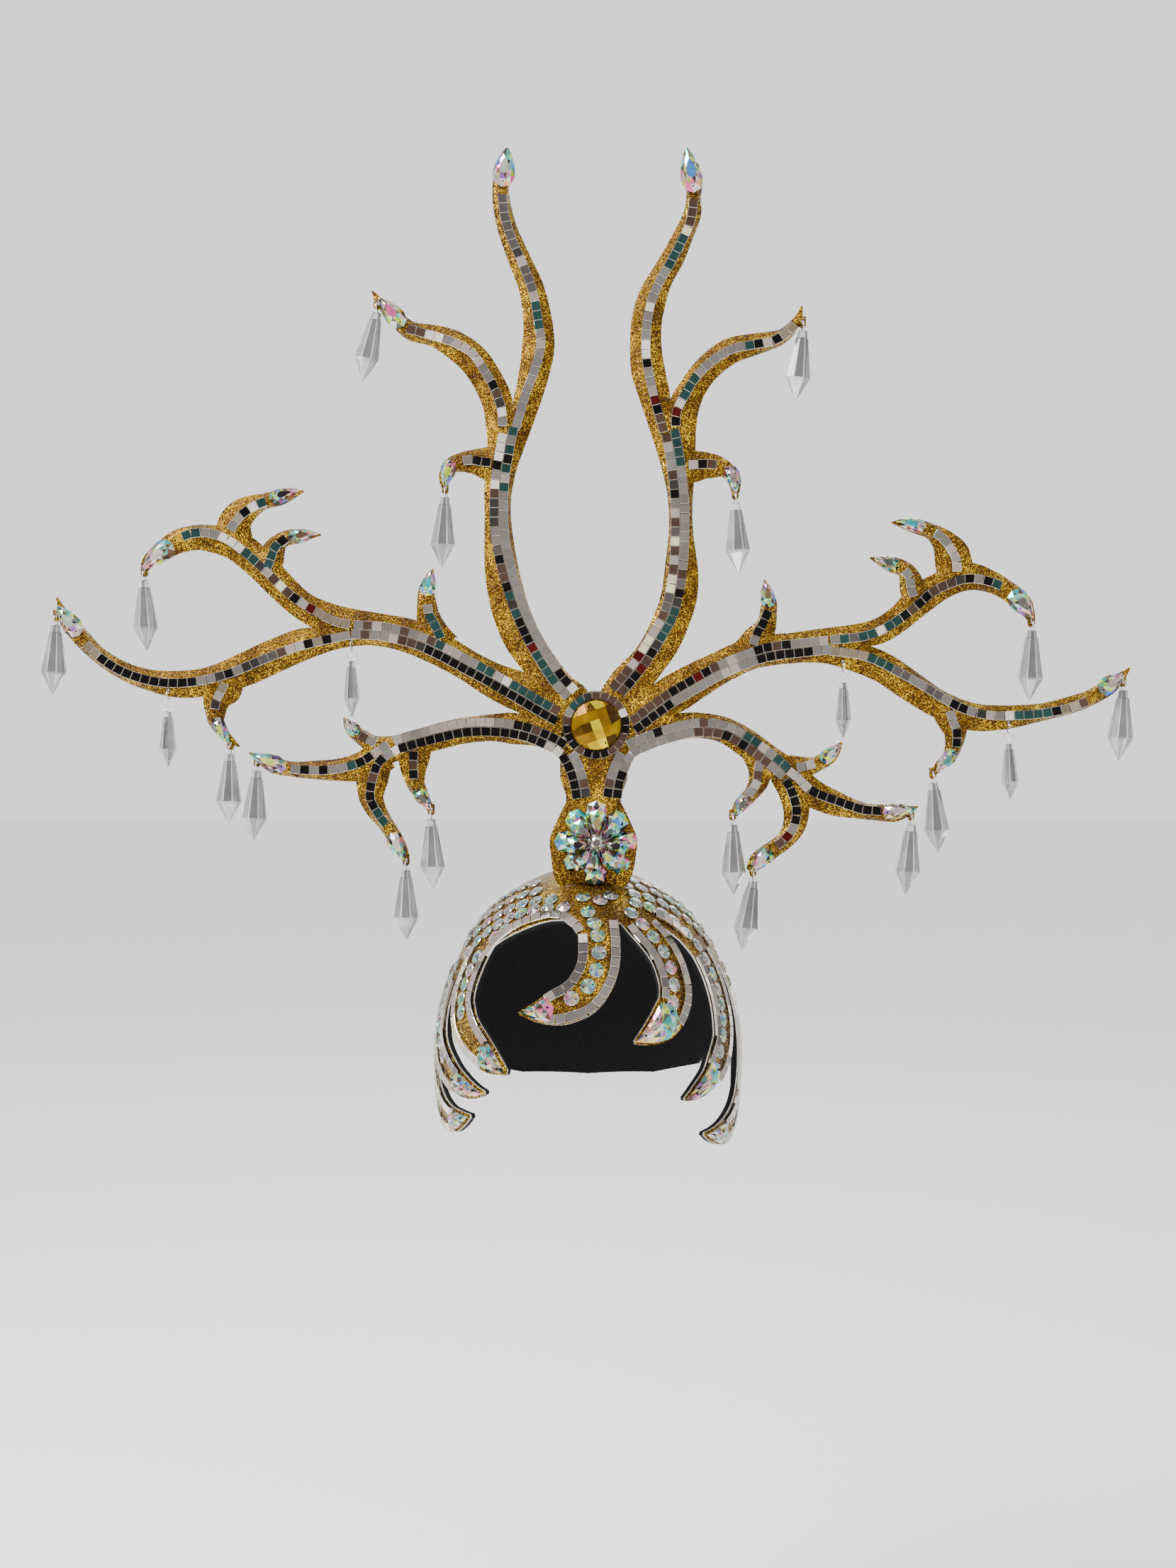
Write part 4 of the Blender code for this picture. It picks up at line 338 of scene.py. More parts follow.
# Shapes shared with the solids
def spline(rows, steps):
    """Smooth curve through the rows of a table (Catmull-Rom), every column alike."""
    rows = [tuple(float(v) for v in row) for row in rows]
    ends = [rows[0]] + rows + [rows[-1]]
    out = []
    for i in range(1, len(ends) - 2):
        a, b, c, d = ends[i - 1:i + 3]
        for k in range(steps):
            t = k / steps
            out.append(tuple(
                0.5 * (2 * q + (r - p) * t + (2 * p - 5 * q + 4 * r - s) * t * t
                       + (3 * q - p - 3 * r + s) * t ** 3)
                for p, q, r, s in zip(a, b, c, d)))
    out.append(rows[-1])
    return out


def plane_point(x, z):
    return Vector((HUB_X + x * 0.01 * FRAME_SPAN, HUB_Z + z * 0.01 * TREE_RISE))


def band(points, left, right):
    """Convex pieces of a ribbon along plane points, with its reaches on each side."""
    n = len(points)
    sides = []
    for i in range(n):
        ahead = points[min(i + 1, n - 1)] - points[max(i - 1, 0)]
        ahead.normalize()
        across = Vector((-ahead.y, ahead.x))
        sides.append((points[i] + across * left[i], points[i] - across * right[i]))
    pieces = []
    for (l0, r0), (l1, r1) in zip(sides, sides[1:]):
        quad = [l0, r0, r1, l1]
        pieces.append([quad[k] for k in convex_hull_2d(quad)])
    return pieces


def disc(centre, radius, count):
    """Corners of a circle in the plane."""
    return [centre + radius * Vector((math.cos(2 * math.pi * k / count),
                                      math.sin(2 * math.pi * k / count)))
            for k in range(count)]


def turning(poly):
    """Twice the area of the loop, positive where it turns left."""
    return sum(a.x * b.y - b.x * a.y for a, b in zip(poly, poly[1:] + poly[:1]))


def outline(polys, keep):
    """Boundary loops of the union of convex polygons, thinned where nearly straight."""
    verts, faces = [], []
    for poly in polys:
        if abs(turning(poly)) < 1e-9:
            continue
        if turning(poly) < 0:
            poly = poly[::-1]
        faces.append(list(range(len(verts), len(verts) + len(poly))))
        verts.extend(poly)
    got = delaunay_2d_cdt(verts, [], faces, 0, 1e-6, True)
    sides = {}
    for face, origin in zip(got[2], got[5]):
        if origin:
            for a, b in zip(face, face[1:] + face[:1]):
                sides[(a, b)] = 1
    nexts = {}
    for a, b in sides:
        if (b, a) not in sides:
            nexts.setdefault(a, []).append(b)
    loops = []
    while nexts:
        start = next(iter(nexts))
        loop, here = [start], nexts[start].pop()
        if not nexts[start]:
            del nexts[start]
        while here != start:
            loop.append(here)
            options = nexts[here]
            if len(options) > 1:
                back = got[0][loop[-2]] - got[0][here]
                options.sort(key=lambda o: (got[0][o] - got[0][here]).angle_signed(back)
                             % (2 * math.pi))
            follow = options.pop(0)
            if not options:
                del nexts[here]
            here = follow
        loops.append(thin([got[0][i] for i in loop], keep))
    return [loop for loop in loops if len(loop) > 2 and abs(turning(loop)) > 4e-6]


def thin(loop, keep):
    """Drop the points of a loop that lie within keep of the line through those that stay."""
    far = max(range(len(loop)), key=lambda i: (loop[i] - loop[0]).length)
    out = []
    for half in (loop[:far + 1], loop[far:] + loop[:1]):
        stay = {0, len(half) - 1}
        spans = [(0, len(half) - 1)]
        while spans:
            first, last = spans.pop()
            side = half[last] - half[first]
            worst, where = keep, None
            for i in range(first + 1, last):
                off = half[i] - half[first]
                away = abs(off.x * side.y - off.y * side.x) / max(side.length, 1e-9)
                if away > worst:
                    worst, where = away, i
            if where is not None:
                stay.add(where)
                spans += [(first, where), (where, last)]
        out += [half[i] for i in sorted(stay)][:-1]
    return out


def limit(loop, longest):
    """Points added along the loop so that no side is longer than this."""
    out = []
    for a, b in zip(loop, loop[1:] + loop[:1]):
        parts = max(1, math.ceil((b - a).length / longest))
        out += [a.lerp(b, k / parts) for k in range(parts)]
    return out


def inside(point, loops):
    """Whether the point lies inside an odd number of the loops."""
    odd = False
    for loop in loops:
        for a, b in zip(loop, loop[-1:] + loop[:-1]):
            if (a.y > point.y) != (b.y > point.y):
                if point.x < (b.x - a.x) * (point.y - a.y) / (b.y - a.y) + a.x:
                    odd = not odd
    return odd


def fill(loops, extra=(), ridges=(), near=1e-7):
    """Points and triangles inside the loops. No triangle crosses a ridge."""
    verts, edges = [], []
    for loop in [*loops, *ridges]:
        first = len(verts)
        verts.extend(loop)
        edges.extend((first + i, first + (i + 1) % len(loop)) for i in range(len(loop)))
    verts.extend(extra)
    got = delaunay_2d_cdt(verts, edges, [], 0, near, True)
    points = got[0]
    return points, [face for face in got[2]
                    if inside(sum((points[i] for i in face), Vector((0, 0))) / len(face), loops)]


def flower_middle():
    """The flower stands just clear of the dome, on the frame's middle line."""
    x = plane_point(0.04, 0).x
    return Vector((x, dome_height(x, FRONT) + FLOWER_CLEAR + FLOWER_WIDE / 2))


def row_line(rows, steps):
    """Middle line of a row of tiles. A row that opens with None starts on the tile ring, and
    one with no first height starts just above the flower."""
    given = [row for row in rows if row]
    if given[0][1] is None:
        start = flower_middle().y + FLOWER_WIDE / 2 + ROW_CLEAR
        given[0] = (given[0][0], (start - HUB_Z) / TREE_RISE * 100)
    points = [plane_point(x, z) for x, z in spline(given, steps)]
    if rows[0] is None:
        hub = plane_point(0, 0)
        points.insert(0, hub + (points[0] - hub).normalized() * TILE_RING)
    return points


# The dome of the cap
def squareness(turn):
    """The dome is rounder at the sides and fuller at the front and back."""
    return 2.0 + 0.4 * math.cos(turn) ** 2


def dome(azimuth, drop, lift=0.0):
    """Point of the cap's outer surface, or lift metres outside it."""
    turn = math.radians(azimuth)
    power = squareness(turn)
    wide, deep, rise = CAP_WIDE + lift, CAP_DEEP + lift, CAP_RISE + lift
    if drop <= 1.0:
        lean = drop * math.pi / 2
        out = math.sin(lean) ** (2 / power)
        high = max(0.0, math.cos(lean)) ** (2 / power)
        z = CAP_LEVEL + rise * high
    else:
        down = (drop - 1.0) * ARC
        out = math.sqrt(max(0.0, 1 - (down / CAP_DROP) ** 2))
        z = CAP_LEVEL - down
    return Vector((wide * math.sin(turn) * out, -deep * math.cos(turn) * out, z))


def dome_height(x, y):
    """Height of the outer surface over a point of the crown."""
    power = squareness(math.atan2(x / CAP_WIDE, -y / CAP_DEEP))
    out = math.hypot(x / CAP_WIDE, y / CAP_DEEP)
    return CAP_LEVEL + CAP_RISE * max(0.0, 1 - min(out, 1.0) ** power) ** (1 / power)


def above_dome(point, y):
    """The plane point, lifted clear of the dome where it would lie inside it."""
    return Vector((point.x, max(point.y, dome_height(point.x, y) + GAP)))


def flat(azimuth, drop):
    """The cap laid out as a disc, the crown in the middle."""
    turn = math.radians(azimuth)
    return Vector((math.sin(turn), -math.cos(turn))) * drop


def unflat(point):
    return math.degrees(math.atan2(point.x, -point.y)), point.length


def curl_path(table, steps):
    """Stations along a curl: azimuth, drop share, half width in metres, the direction across,
    and the metres of surface for one degree of azimuth."""
    path = []
    rows = spline(table, steps)
    n = len(rows)
    for i, (azimuth, drop, half) in enumerate(rows):
        before, after = rows[max(i - 1, 0)], rows[min(i + 1, n - 1)]
        scale = math.radians(1) * CAP_MEAN * math.sin(min(drop, 1.0) * math.pi / 2) ** 0.85
        ahead = Vector(((after[0] - before[0]) * scale, (after[1] - before[1]) * ARC))
        ahead.normalize()
        path.append((azimuth, drop, half * 0.001, Vector((ahead.y, -ahead.x)), scale))
    return path


def beside(station, off):
    """Point of the flat disc beside a curl's middle line."""
    azimuth, drop, half, across, scale = station
    return flat(azimuth + across.x * off / scale, drop + across.y * off / ARC)


def on_cap(station, off):
    """Point of the cap's surface beside a curl's middle line."""
    return dome(*unflat(beside(station, off)))


def where_on_dome(at):
    """Azimuth and drop share of the dome point nearest in direction."""
    azimuth = math.degrees(math.atan2(at.x / CAP_WIDE, -at.y / CAP_DEEP))
    power = squareness(math.radians(azimuth))
    if at.z <= CAP_LEVEL:
        return azimuth, 1.0 + (CAP_LEVEL - at.z) / ARC
    high = max(0.0, min(1.0, (at.z - CAP_LEVEL) / CAP_RISE))
    lean = math.acos(max(-1.0, min(1.0, high ** (power / 2))))
    return azimuth, lean / (math.pi / 2)


def dome_axes(azimuth, drop):
    """Point of the cap's outer surface, its outward normal, and the way round the cap."""
    at = dome(azimuth, drop)
    side = dome(azimuth + 0.5, drop) - dome(azimuth - 0.5, drop)
    down = dome(azimuth, drop + 0.005) - dome(azimuth, drop - 0.005)
    normal = down.cross(side).normalized()
    if normal.dot(at - CAP_MIDDLE) < 0:
        normal = -normal
    return at, normal, side.normalized()


def normal_at(at):
    return dome_axes(*where_on_dome(at))[1]


# Tones in linear colour: painted reflections of the mirror tiles, from near black to near white. Letters
# are used in the row strings.
TONES = {
    "k": (0.010, 0.009, 0.009), "d": (0.045, 0.040, 0.038), "m": (0.11, 0.095, 0.09),
    "g": (0.215, 0.19, 0.175), "p": (0.43, 0.345, 0.315), "w": (0.82, 0.75, 0.68),
    "t": (0.024, 0.060, 0.056), "b": (0.085, 0.050, 0.038), "r": (0.085, 0.010, 0.009),
    "c": (0.85, 0.80, 0.50), "s": (0.26, 0.20, 0.14),
}
PALE_EDGE = (0.66, 0.62, 0.56)
STONE_BACK = (0.3, 0.3, 0.3)
# Painted shade inside the stones' sewing holes.
HOLE_SHADE = (0.008, 0.007, 0.008)
# Facets of the coated stones: cool ones, warm ones, and dark ones that are painted dark reflections.
COOL_TONES = ((0.03, 0.36, 0.36), (0.12, 0.46, 0.26), (0.40, 0.52, 0.03), (0.50, 0.54, 0.48),
              (0.08, 0.26, 0.22), (0.52, 0.56, 0.12), (0.06, 0.20, 0.48), (0.22, 0.48, 0.44))
WARM_TONES = ((0.56, 0.10, 0.24), (0.24, 0.09, 0.36), (0.60, 0.28, 0.34), (0.58, 0.52, 0.48),
              (0.42, 0.34, 0.36), (0.58, 0.26, 0.14), (0.30, 0.24, 0.22), (0.62, 0.48, 0.16),
              (0.52, 0.50, 0.42))
DARK_REFLECTION_TONES = ((0.020, 0.014, 0.016), (0.10, 0.050, 0.030), (0.12, 0.11, 0.10),
              (0.16, 0.12, 0.050), (0.07, 0.09, 0.08))
# Grey facets of the round stones, lighter and darker from facet to facet: painted reflections. Each stone
# has some coated tones among them.
ROUND_GREYS = (
    (0.30, 0.295, 0.285), (0.22, 0.215, 0.21), (0.38, 0.37, 0.35), (0.15, 0.145, 0.14),
    (0.27, 0.255, 0.25), (0.46, 0.45, 0.42), (0.20, 0.215, 0.20))
# Grey facets of the flower's middle stone: painted reflections.
FLOWER_GREYS = ((0.26, 0.22, 0.21), (0.50, 0.44, 0.42), (0.12, 0.10, 0.10), (0.56, 0.52, 0.42))
# Facets of the amber stone: its own yellow to brown, lighter and darker from facet to facet as painted
# reflections.
AMBER_TONES = (
    (0.36, 0.215, 0.0), (0.17, 0.090, 0.0), (0.50, 0.325, 0.0), (0.075, 0.034, 0.0),
    (0.26, 0.145, 0.0), (0.75, 0.56, 0.0), (0.045, 0.020, 0.0))
# Sections of a drop. Columns: share of the length, half width and half depth in mm.
DROP_SECTIONS = ((0.0, 2.3, 1.7), (0.015, 2.7, 2.0), (0.105, 3.1, 2.3), (0.118, 3.7, 2.7),
                 (0.68, 7.4, 4.5), (0.985, 0.6, 0.5), (1.0, 0.25, 0.25))
# Corners of a drop seen from above, in degrees from its right side, and its faces' greys: each face runs
# from its corner to the next. The greys are painted reflections in the glass, and the narrow faces'
# bright greys are painted highlights on the edges of the cut.
DROP_CORNERS = (22, 68, 112, 158, 198, 203, 245, 251, 289, 295, 337, 342)
DROP_GREYS = (.40, .27, .40, .20, .90, .42, .90, .13, .80, .26, .90, .50)
DROP_GREYS_TURNED = (.40, .27, .36, .12, .90, .26, .90, .30, .60, .36, .60, .40)
CORNER_SHARE = 0.927      # cosine of the first corner's angle
GLASS_BRIGHT = (0.88, 0.90, 0.89)
WIRE_TONE = (0.70, 0.69, 0.67)
# Gold of the glitter from dark to bright; the bright top stop is painted glints of the flakes.
GOLD_AND_GLINT_STOPS = (
    (0.0, (0.018, 0.006, 0.0)), (0.30, (0.042, 0.015, 0.0)), (0.58, (0.098, 0.040, 0.0)),
    (0.80, (0.38, 0.182, 0.0)), (1.0, (1.0, 0.680, 0.030)))
LINING_STOPS = ((0.0, (0.002, 0.002, 0.002)), (1.0, (0.010, 0.009, 0.009)))
FLAKE = 0.00050           # size of a flake of glitter


# Materials
def feed(tree, made, inputs):
    """Each input of the node takes a value, or a link where it is given a socket."""
    for name, value in inputs.items():
        if isinstance(value, bpy.types.NodeSocket):
            tree.links.new(value, made.inputs[name])
        else:
            made.inputs[name].default_value = value


def node(tree, kind, inputs=None, **settings):
    """New shader node with its settings and inputs."""
    made = tree.nodes.new("ShaderNode" + kind)
    for name, value in settings.items():
        setattr(made, name, value)
    feed(tree, made, inputs or {})
    return made


def principled(name):
    made = bpy.data.materials.new(name)
    made.use_nodes = True
    tree = made.node_tree
    return made, tree, tree.nodes["Principled BSDF"]


def ramp(tree, stops, factor):
    """Colour by the factor, from the first stop to the last."""
    made = node(tree, "ValToRGB", {"Fac": factor})
    elements = made.color_ramp.elements
    for element, (at, colour) in zip(elements, (stops[0], stops[-1])):
        element.position = at
        element.color = (*colour, 1)
    for at, colour in stops[1:-1]:
        elements.new(at).color = (*colour, 1)
    return made.outputs["Color"]


def glitter():
    """Flakes: every cell has its own colour and its own tilt. The brightest colours are painted glints.
    """
    made, tree, shader = principled("gold_glitter")
    place = node(tree, "TexCoord").outputs["Object"]
    flakes = node(tree, "TexVoronoi", {"Scale": 1.0 / FLAKE, "Vector": place}).outputs["Color"]
    broad = node(tree, "TexNoise", {"Scale": 60.0, "Detail": 3.0, "Vector": place})
    split = node(tree, "SeparateColor", {"Color": flakes})
    mix = node(tree, "Math", {0: broad.outputs["Fac"], 1: 0.8, 2: split.outputs["Red"]},
               operation="MULTIPLY_ADD")
    ease = node(tree, "Math", {0: mix.outputs[0], 1: 0.42}, operation="SUBTRACT")
    # each flake's normal is the surface's own, turned a little by the cell's colour
    centred = node(tree, "VectorMath", {0: flakes, 1: (0.5, 0.5, 0.5)}, operation="SUBTRACT")
    scaled = node(tree, "VectorMath", {0: centred.outputs[0], "Scale": 0.95}, operation="SCALE")
    surface = node(tree, "NewGeometry").outputs["Normal"]
    added = node(tree, "VectorMath", {0: scaled.outputs[0], 1: surface}, operation="ADD")
    unit = node(tree, "VectorMath", {0: added.outputs[0]}, operation="NORMALIZE")
    feed(tree, shader, {"Base Color": ramp(tree, GOLD_AND_GLINT_STOPS, ease.outputs[0]),
                        "Normal": unit.outputs[0], "Metallic": 0.82, "Roughness": 0.32})
    return made


def toned(name, metallic, rough, cloud, scale=60.0, coat=0.0, transmission=0.0, ior=1.5):
    """Colour from the tone given to each face, gently clouded. On the tiles these tones are painted
    reflections, and on the stones and drops partly so.
    """
    made, tree, shader = principled(name)
    tone = node(tree, "VertexColor", layer_name="tone").outputs["Color"]
    place = node(tree, "TexCoord").outputs["Object"]
    noise = node(tree, "TexNoise", {"Scale": scale, "Detail": 2.0, "Vector": place})

    def spread(low, high):
        """The middle of the noise's range, stretched to run from low to high."""
        return node(tree, "MapRange", {
            "Value": noise.outputs["Fac"], "From Min": 0.3, "From Max": 0.7,
            "To Min": low, "To Max": high}).outputs["Result"]

    clouded = node(tree, "VectorMath", {0: tone, "Scale": spread(1.0 - cloud, 1.0 + cloud)},
                   operation="SCALE")
    feed(tree, shader, {
        "Base Color": clouded.outputs[0], "Metallic": metallic,
        "Roughness": spread(rough * 0.7, rough * 1.4), "Coat Weight": coat,
        "Coat Roughness": 0.03, "Transmission Weight": transmission, "IOR": ior})
    return made


def lining_cloth():
    """Black stuff with a fine weave."""
    made, tree, shader = principled("black_lining")
    place = node(tree, "TexCoord").outputs["Object"]
    weave = node(tree, "TexVoronoi", {"Scale": 900.0, "Vector": place}).outputs["Distance"]
    bump = node(tree, "Bump", {"Strength": 0.4, "Distance": 0.0004, "Height": weave})
    feed(tree, shader, {"Base Color": ramp(tree, LINING_STOPS, weave), "Roughness": 0.8,
                        "Normal": bump.outputs["Normal"], "Specular IOR Level": 0.15})
    return made


MATERIALS = {
    "gold": glitter(),
    "tile": toned("mirror_tile", 1.0, 0.07, 0.10),
    "stone": toned("rainbow_stone", 0.9, 0.09, 0.28, 260.0, coat=0.12),
    "amber": toned("amber_stone_glass", 0.9, 0.10, 0.3, 110.0),
    "glass": toned("clear_glass", 0.0, 0.03, 0.22, 90.0, transmission=0.70, ior=1.47),
    "wire": toned("silver_wire", 1.0, 0.16, 0.05),
    "foam_edge": toned("foam_edge", 0.5, 0.35, 0.2, 300.0),
    "lining": lining_cloth(),
}


# Helpers
class Toned:
    """Mesh under construction whose faces carry a tone."""

    def __init__(self):
        self.points, self.faces, self.tones, self.kinds = [], [], [], []

    def add(self, points, faces, tones, kind=0):
        first = len(self.points)
        self.points += [tuple(p) for p in points]
        for i, face in enumerate(faces):
            self.faces.append([first + k for k in face])
            self.tones.append(tones[i] if isinstance(tones, list) else tones)
            self.kinds.append(kind)

    def prism(self, rim, low, tone, kind=0):
        """Closed piece between two loops of as many points."""
        n = len(rim)
        sides = [[k, (k + 1) % n, n + (k + 1) % n, n + k] for k in range(n)]
        ends = [list(range(n)), list(range(2 * n - 1, n - 1, -1))]
        self.add(rim + low, ends + sides, tone, kind)

    def make(self, name, materials, body="crown", smooth=False):
        mesh = bpy.data.meshes.new(name)
        mesh.from_pydata(self.points, [], self.faces)
        mesh.validate()
        colours = mesh.color_attributes.new("tone", "FLOAT_COLOR", "CORNER")
        for face, tone in zip(mesh.polygons, self.tones):
            for k in face.loop_indices:
                colours.data[k].color = (*tone, 1.0)
        for kind in materials:
            mesh.materials.append(MATERIALS[kind])
        for face, kind in zip(mesh.polygons, self.kinds):
            face.material_index = kind
            face.use_smooth = smooth
        rework(mesh, lambda bm: None)
        thing = bpy.data.objects.new(name, mesh)
        bpy.context.scene.collection.objects.link(thing)
        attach(thing, body)
        return thing


def rework(mesh, change):
    """Change the mesh, then turn its faces outwards."""
    bm = bmesh.new()
    bm.from_mesh(mesh)
    change(bm)
    bmesh.ops.recalc_face_normals(bm, faces=bm.faces[:])
    bm.to_mesh(mesh)
    bm.free()


def sharpen(thing):
    """Smooth shading that breaks at the creases."""
    bm = bmesh.new()
    bm.from_mesh(thing.data)
    for face in bm.faces:
        face.smooth = True
    for edge in bm.edges:
        if len(edge.link_faces) == 2:
            edge.smooth = edge.calc_face_angle() < CREASE
    bm.to_mesh(thing.data)
    bm.free()


def varied(tone, dice):
    """The tone, up to 16% lighter or darker."""
    k = 1 + dice.uniform(-0.16, 0.16)
    return tuple(max(0.003, min(1.0, c * k)) for c in tone)


def axes_for(normal, ahead):
    """Ahead, across and up on a surface with this normal."""
    normal = normal.normalized()
    ahead = (ahead - normal * ahead.dot(normal)).normalized()
    return ahead, normal.cross(ahead), normal


def layer(triangles, upper, lower, kinds=(0, 0, 0)):
    """Closed layer over triangles, its points placed by two functions. kinds are the materials
    of the upper faces, the lower faces and the walls. Gives points, faces and their kinds."""
    used = sorted({i for tri in triangles for i in tri})
    number = {i: k for k, i in enumerate(used)}
    under = len(used)
    faces, marks, seen = [], [], set()
    for tri in triangles:
        faces += [[number[i] for i in tri], [number[i] + under for i in reversed(tri)]]
        marks += kinds[:2]
        for side in zip(tri, tri[1:] + tri[:1]):
            seen.add(side)
    for a, b in seen:
        if (b, a) not in seen:
            faces.append([number[b], number[a], number[a] + under, number[b] + under])
            marks.append(kinds[2])
    return [upper(i) for i in used] + [lower(i) for i in used], faces, marks


def add_tile(mesh, at, ahead, across, normal, long, wide, tone):
    """One mirror tile with a narrow ground edge."""
    points = []
    for inset, high in ((0, 0.0), (0, TILE_THICK - TILE_EDGE), (TILE_EDGE, TILE_THICK)):
        for s, t in ((-1, -1), (1, -1), (1, 1), (-1, 1)):
            points.append(at + ahead * s * (long / 2 - inset) + across * t * (wide / 2 - inset)
                          + normal * high)
    faces = [[3, 2, 1, 0], [8, 9, 10, 11]]
    for level in (0, 4):
        for k in range(4):
            j = (k + 1) % 4
            faces.append([level + k, level + j, level + 4 + j, level + 4 + k])
    mesh.add(points, faces, [PALE_EDGE, tone] + [PALE_EDGE] * 8)


def rainbow(dice, turned_chance, dark):
    """Tones for a coated stone: cool towards one end, warm towards the other."""
    turned = dice.random() < turned_chance

    def pick(share):
        # some facets get a painted dark reflection
        if dice.random() < dark:
            return dice.choice(DARK_REFLECTION_TONES)
        warm = share + dice.uniform(-0.35, 0.35) > 0.5
        return dice.choice(WARM_TONES if warm != turned else COOL_TONES)
    return pick


def facets(count, levels, shares, pick, dice):
    """Faces between a stone's rings, and their tones: quads round the rim, then triangles that
    turn half a step from level to level. shares say how far along the stone each corner is."""
    faces, shades = [], []
    for level in range(levels):
        low, top = level * count, (level + 1) * count
        for k in range(count):
            j = (k + 1) % count
            if level == 0:
                faces.append([low + k, low + j, top + j, top + k])
                shades.append(PALE_EDGE)
                continue
            if level % 2 == 1:
                faces += [[low + k, low + j, top + k], [low + j, top + j, top + k]]
            else:
                faces += [[low + k, top + j, top + k], [low + k, low + j, top + j]]
            shades += [varied(pick(shares[k]), dice) for _ in range(2)]
    return faces, shades


def gem(mesh, at, ahead, across, normal, shape, high, dice, pick, holes=(), hole=0.0006,
        rims=((0.88, 0.0), (1.0, 0.24), (0.72, 0.74), (0.42, 1.0))):
    """Faceted stone over an outline of points along and across. rims are its rings' shares of
    the outline and of the height, and holes are its sewing holes, along, across and up."""
    count = len(shape)
    heart = Vector((sum(p[0] for p in shape) / count, sum(p[1] for p in shape) / count))
    points = []
    for level, (scale, up) in enumerate(rims):
        for k in range(count):
            p = Vector(shape[k])
            if level % 2 == 0 and level > 0:
                p = (p + Vector(shape[(k + 1) % count])) / 2
            p = heart + (p - heart) * scale
            points.append(at + ahead * p.x + across * p.y + normal * (high * up))
    start = min(p[0] for p in shape)
    reach = max(p[0] for p in shape) - start
    shares = [(p[0] - start) / reach for p in shape]
    faces, shades = facets(count, len(rims) - 1, shares, pick, dice)
    last = (len(rims) - 1) * count
    faces += [list(range(last, last + count)), list(reversed(range(count)))]
    shades += [varied(pick(0.5), dice), STONE_BACK]
    mesh.add(points, faces, shades)
    for x, y, up in holes:
        centre = at + ahead * x + across * y + normal * (high * up)
        rim = [centre + ahead * hole * math.cos(k * math.pi / 4)
               + across * hole * math.sin(k * math.pi / 4) for k in range(8)]
        # each hole is a dark plug: painted shade
        mesh.prism(rim, [p - normal * high * 0.5 for p in rim], HOLE_SHADE)


def pear(length, width, count=11):
    """Pear outline: round end at 0, point at length."""
    out = []
    for k in range(count):
        a = 2 * math.pi * k / count
        s = (1 - math.cos(a)) / 2
        half = width / 2 * math.sin(a) * (1.22 - 0.85 * s) * 1.08
        out.append((length * s, half))
    return out


def round_outline(radius, count=12):
    return [(radius * math.cos(2 * math.pi * k / count), radius * math.sin(2 * math.pi * k / count))
            for k in range(count)]


def torus(centre, axis, mean, wire, big=28, small=8):
    """Points and faces of a ring about the X or the Y axis."""
    points, faces = [], []
    for i in range(big):
        a = 2 * math.pi * i / big
        for j in range(small):
            b = 2 * math.pi * j / small
            out, off = mean + wire * math.cos(b), wire * math.sin(b)
            if axis == "X":
                at = Vector((off, out * math.cos(a), out * math.sin(a)))
            else:
                at = Vector((out * math.cos(a), off, out * math.sin(a)))
            points.append(centre + at)
            ii, jj = (i + 1) % big, (j + 1) % small
            faces.append([i * small + j, ii * small + j, ii * small + jj, i * small + jj])
    return points, faces


# The frame's foam
def limb_polys():
    """Convex pieces of the frame: its limbs and the hub."""
    polys = []
    for rows in LIMBS.values():
        smooth = spline(rows, 5)
        points = [plane_point(x, z) for x, z, _, _ in smooth]
        reaches = [[max(row[side], 3) * 0.01 * LIMB_REACH for row in smooth] for side in (2, 3)]
        polys.extend(band(points, *reaches))
    polys.append(disc(plane_point(0, 0), HUB_RADIUS, 48))
    return polys


def ridge_polys():
    """Where the frame's front stays at full height: under the tiles, stones and flower."""
    polys = []
    for wide, rows in ROWS.values():
        points = row_line(rows, 3)
        reach = [TILE / 2 * wide + 0.0001] * len(points)
        polys.extend(band(points, reach, reach))
    for x0, z0, x1, z1, width in TIP_STONES.values():
        start, end = plane_point(x0, z0), plane_point(x1, z1)
        reach = [width * 0.0002] * 2
        polys.extend(band([start.lerp(end, -0.25), start.lerp(end, 0.62)], reach, reach))
    polys.append(disc(plane_point(0, 0), TILE_RING + TILE / 2, 40))
    polys.append(disc(flower_middle(), FLOWER_RIDGE, 32))
    neck = [plane_point(-0.05, -4), plane_point(-0.1, -18)]
    polys.extend(band(neck, [NECK_RIDGE] * 2, [NECK_RIDGE] * 2))
    return polys


def on_edge(point, loops):
    """Whether the point lies on one of the loops."""
    for loop in loops:
        for a, b in zip(loop, loop[1:] + loop[:1]):
            side = b - a
            t = max(0.0, min(1.0, (point - a).dot(side) / max(side.length_squared, 1e-18)))
            if (point - a - side * t).length < 1e-5:
                return True
    return False


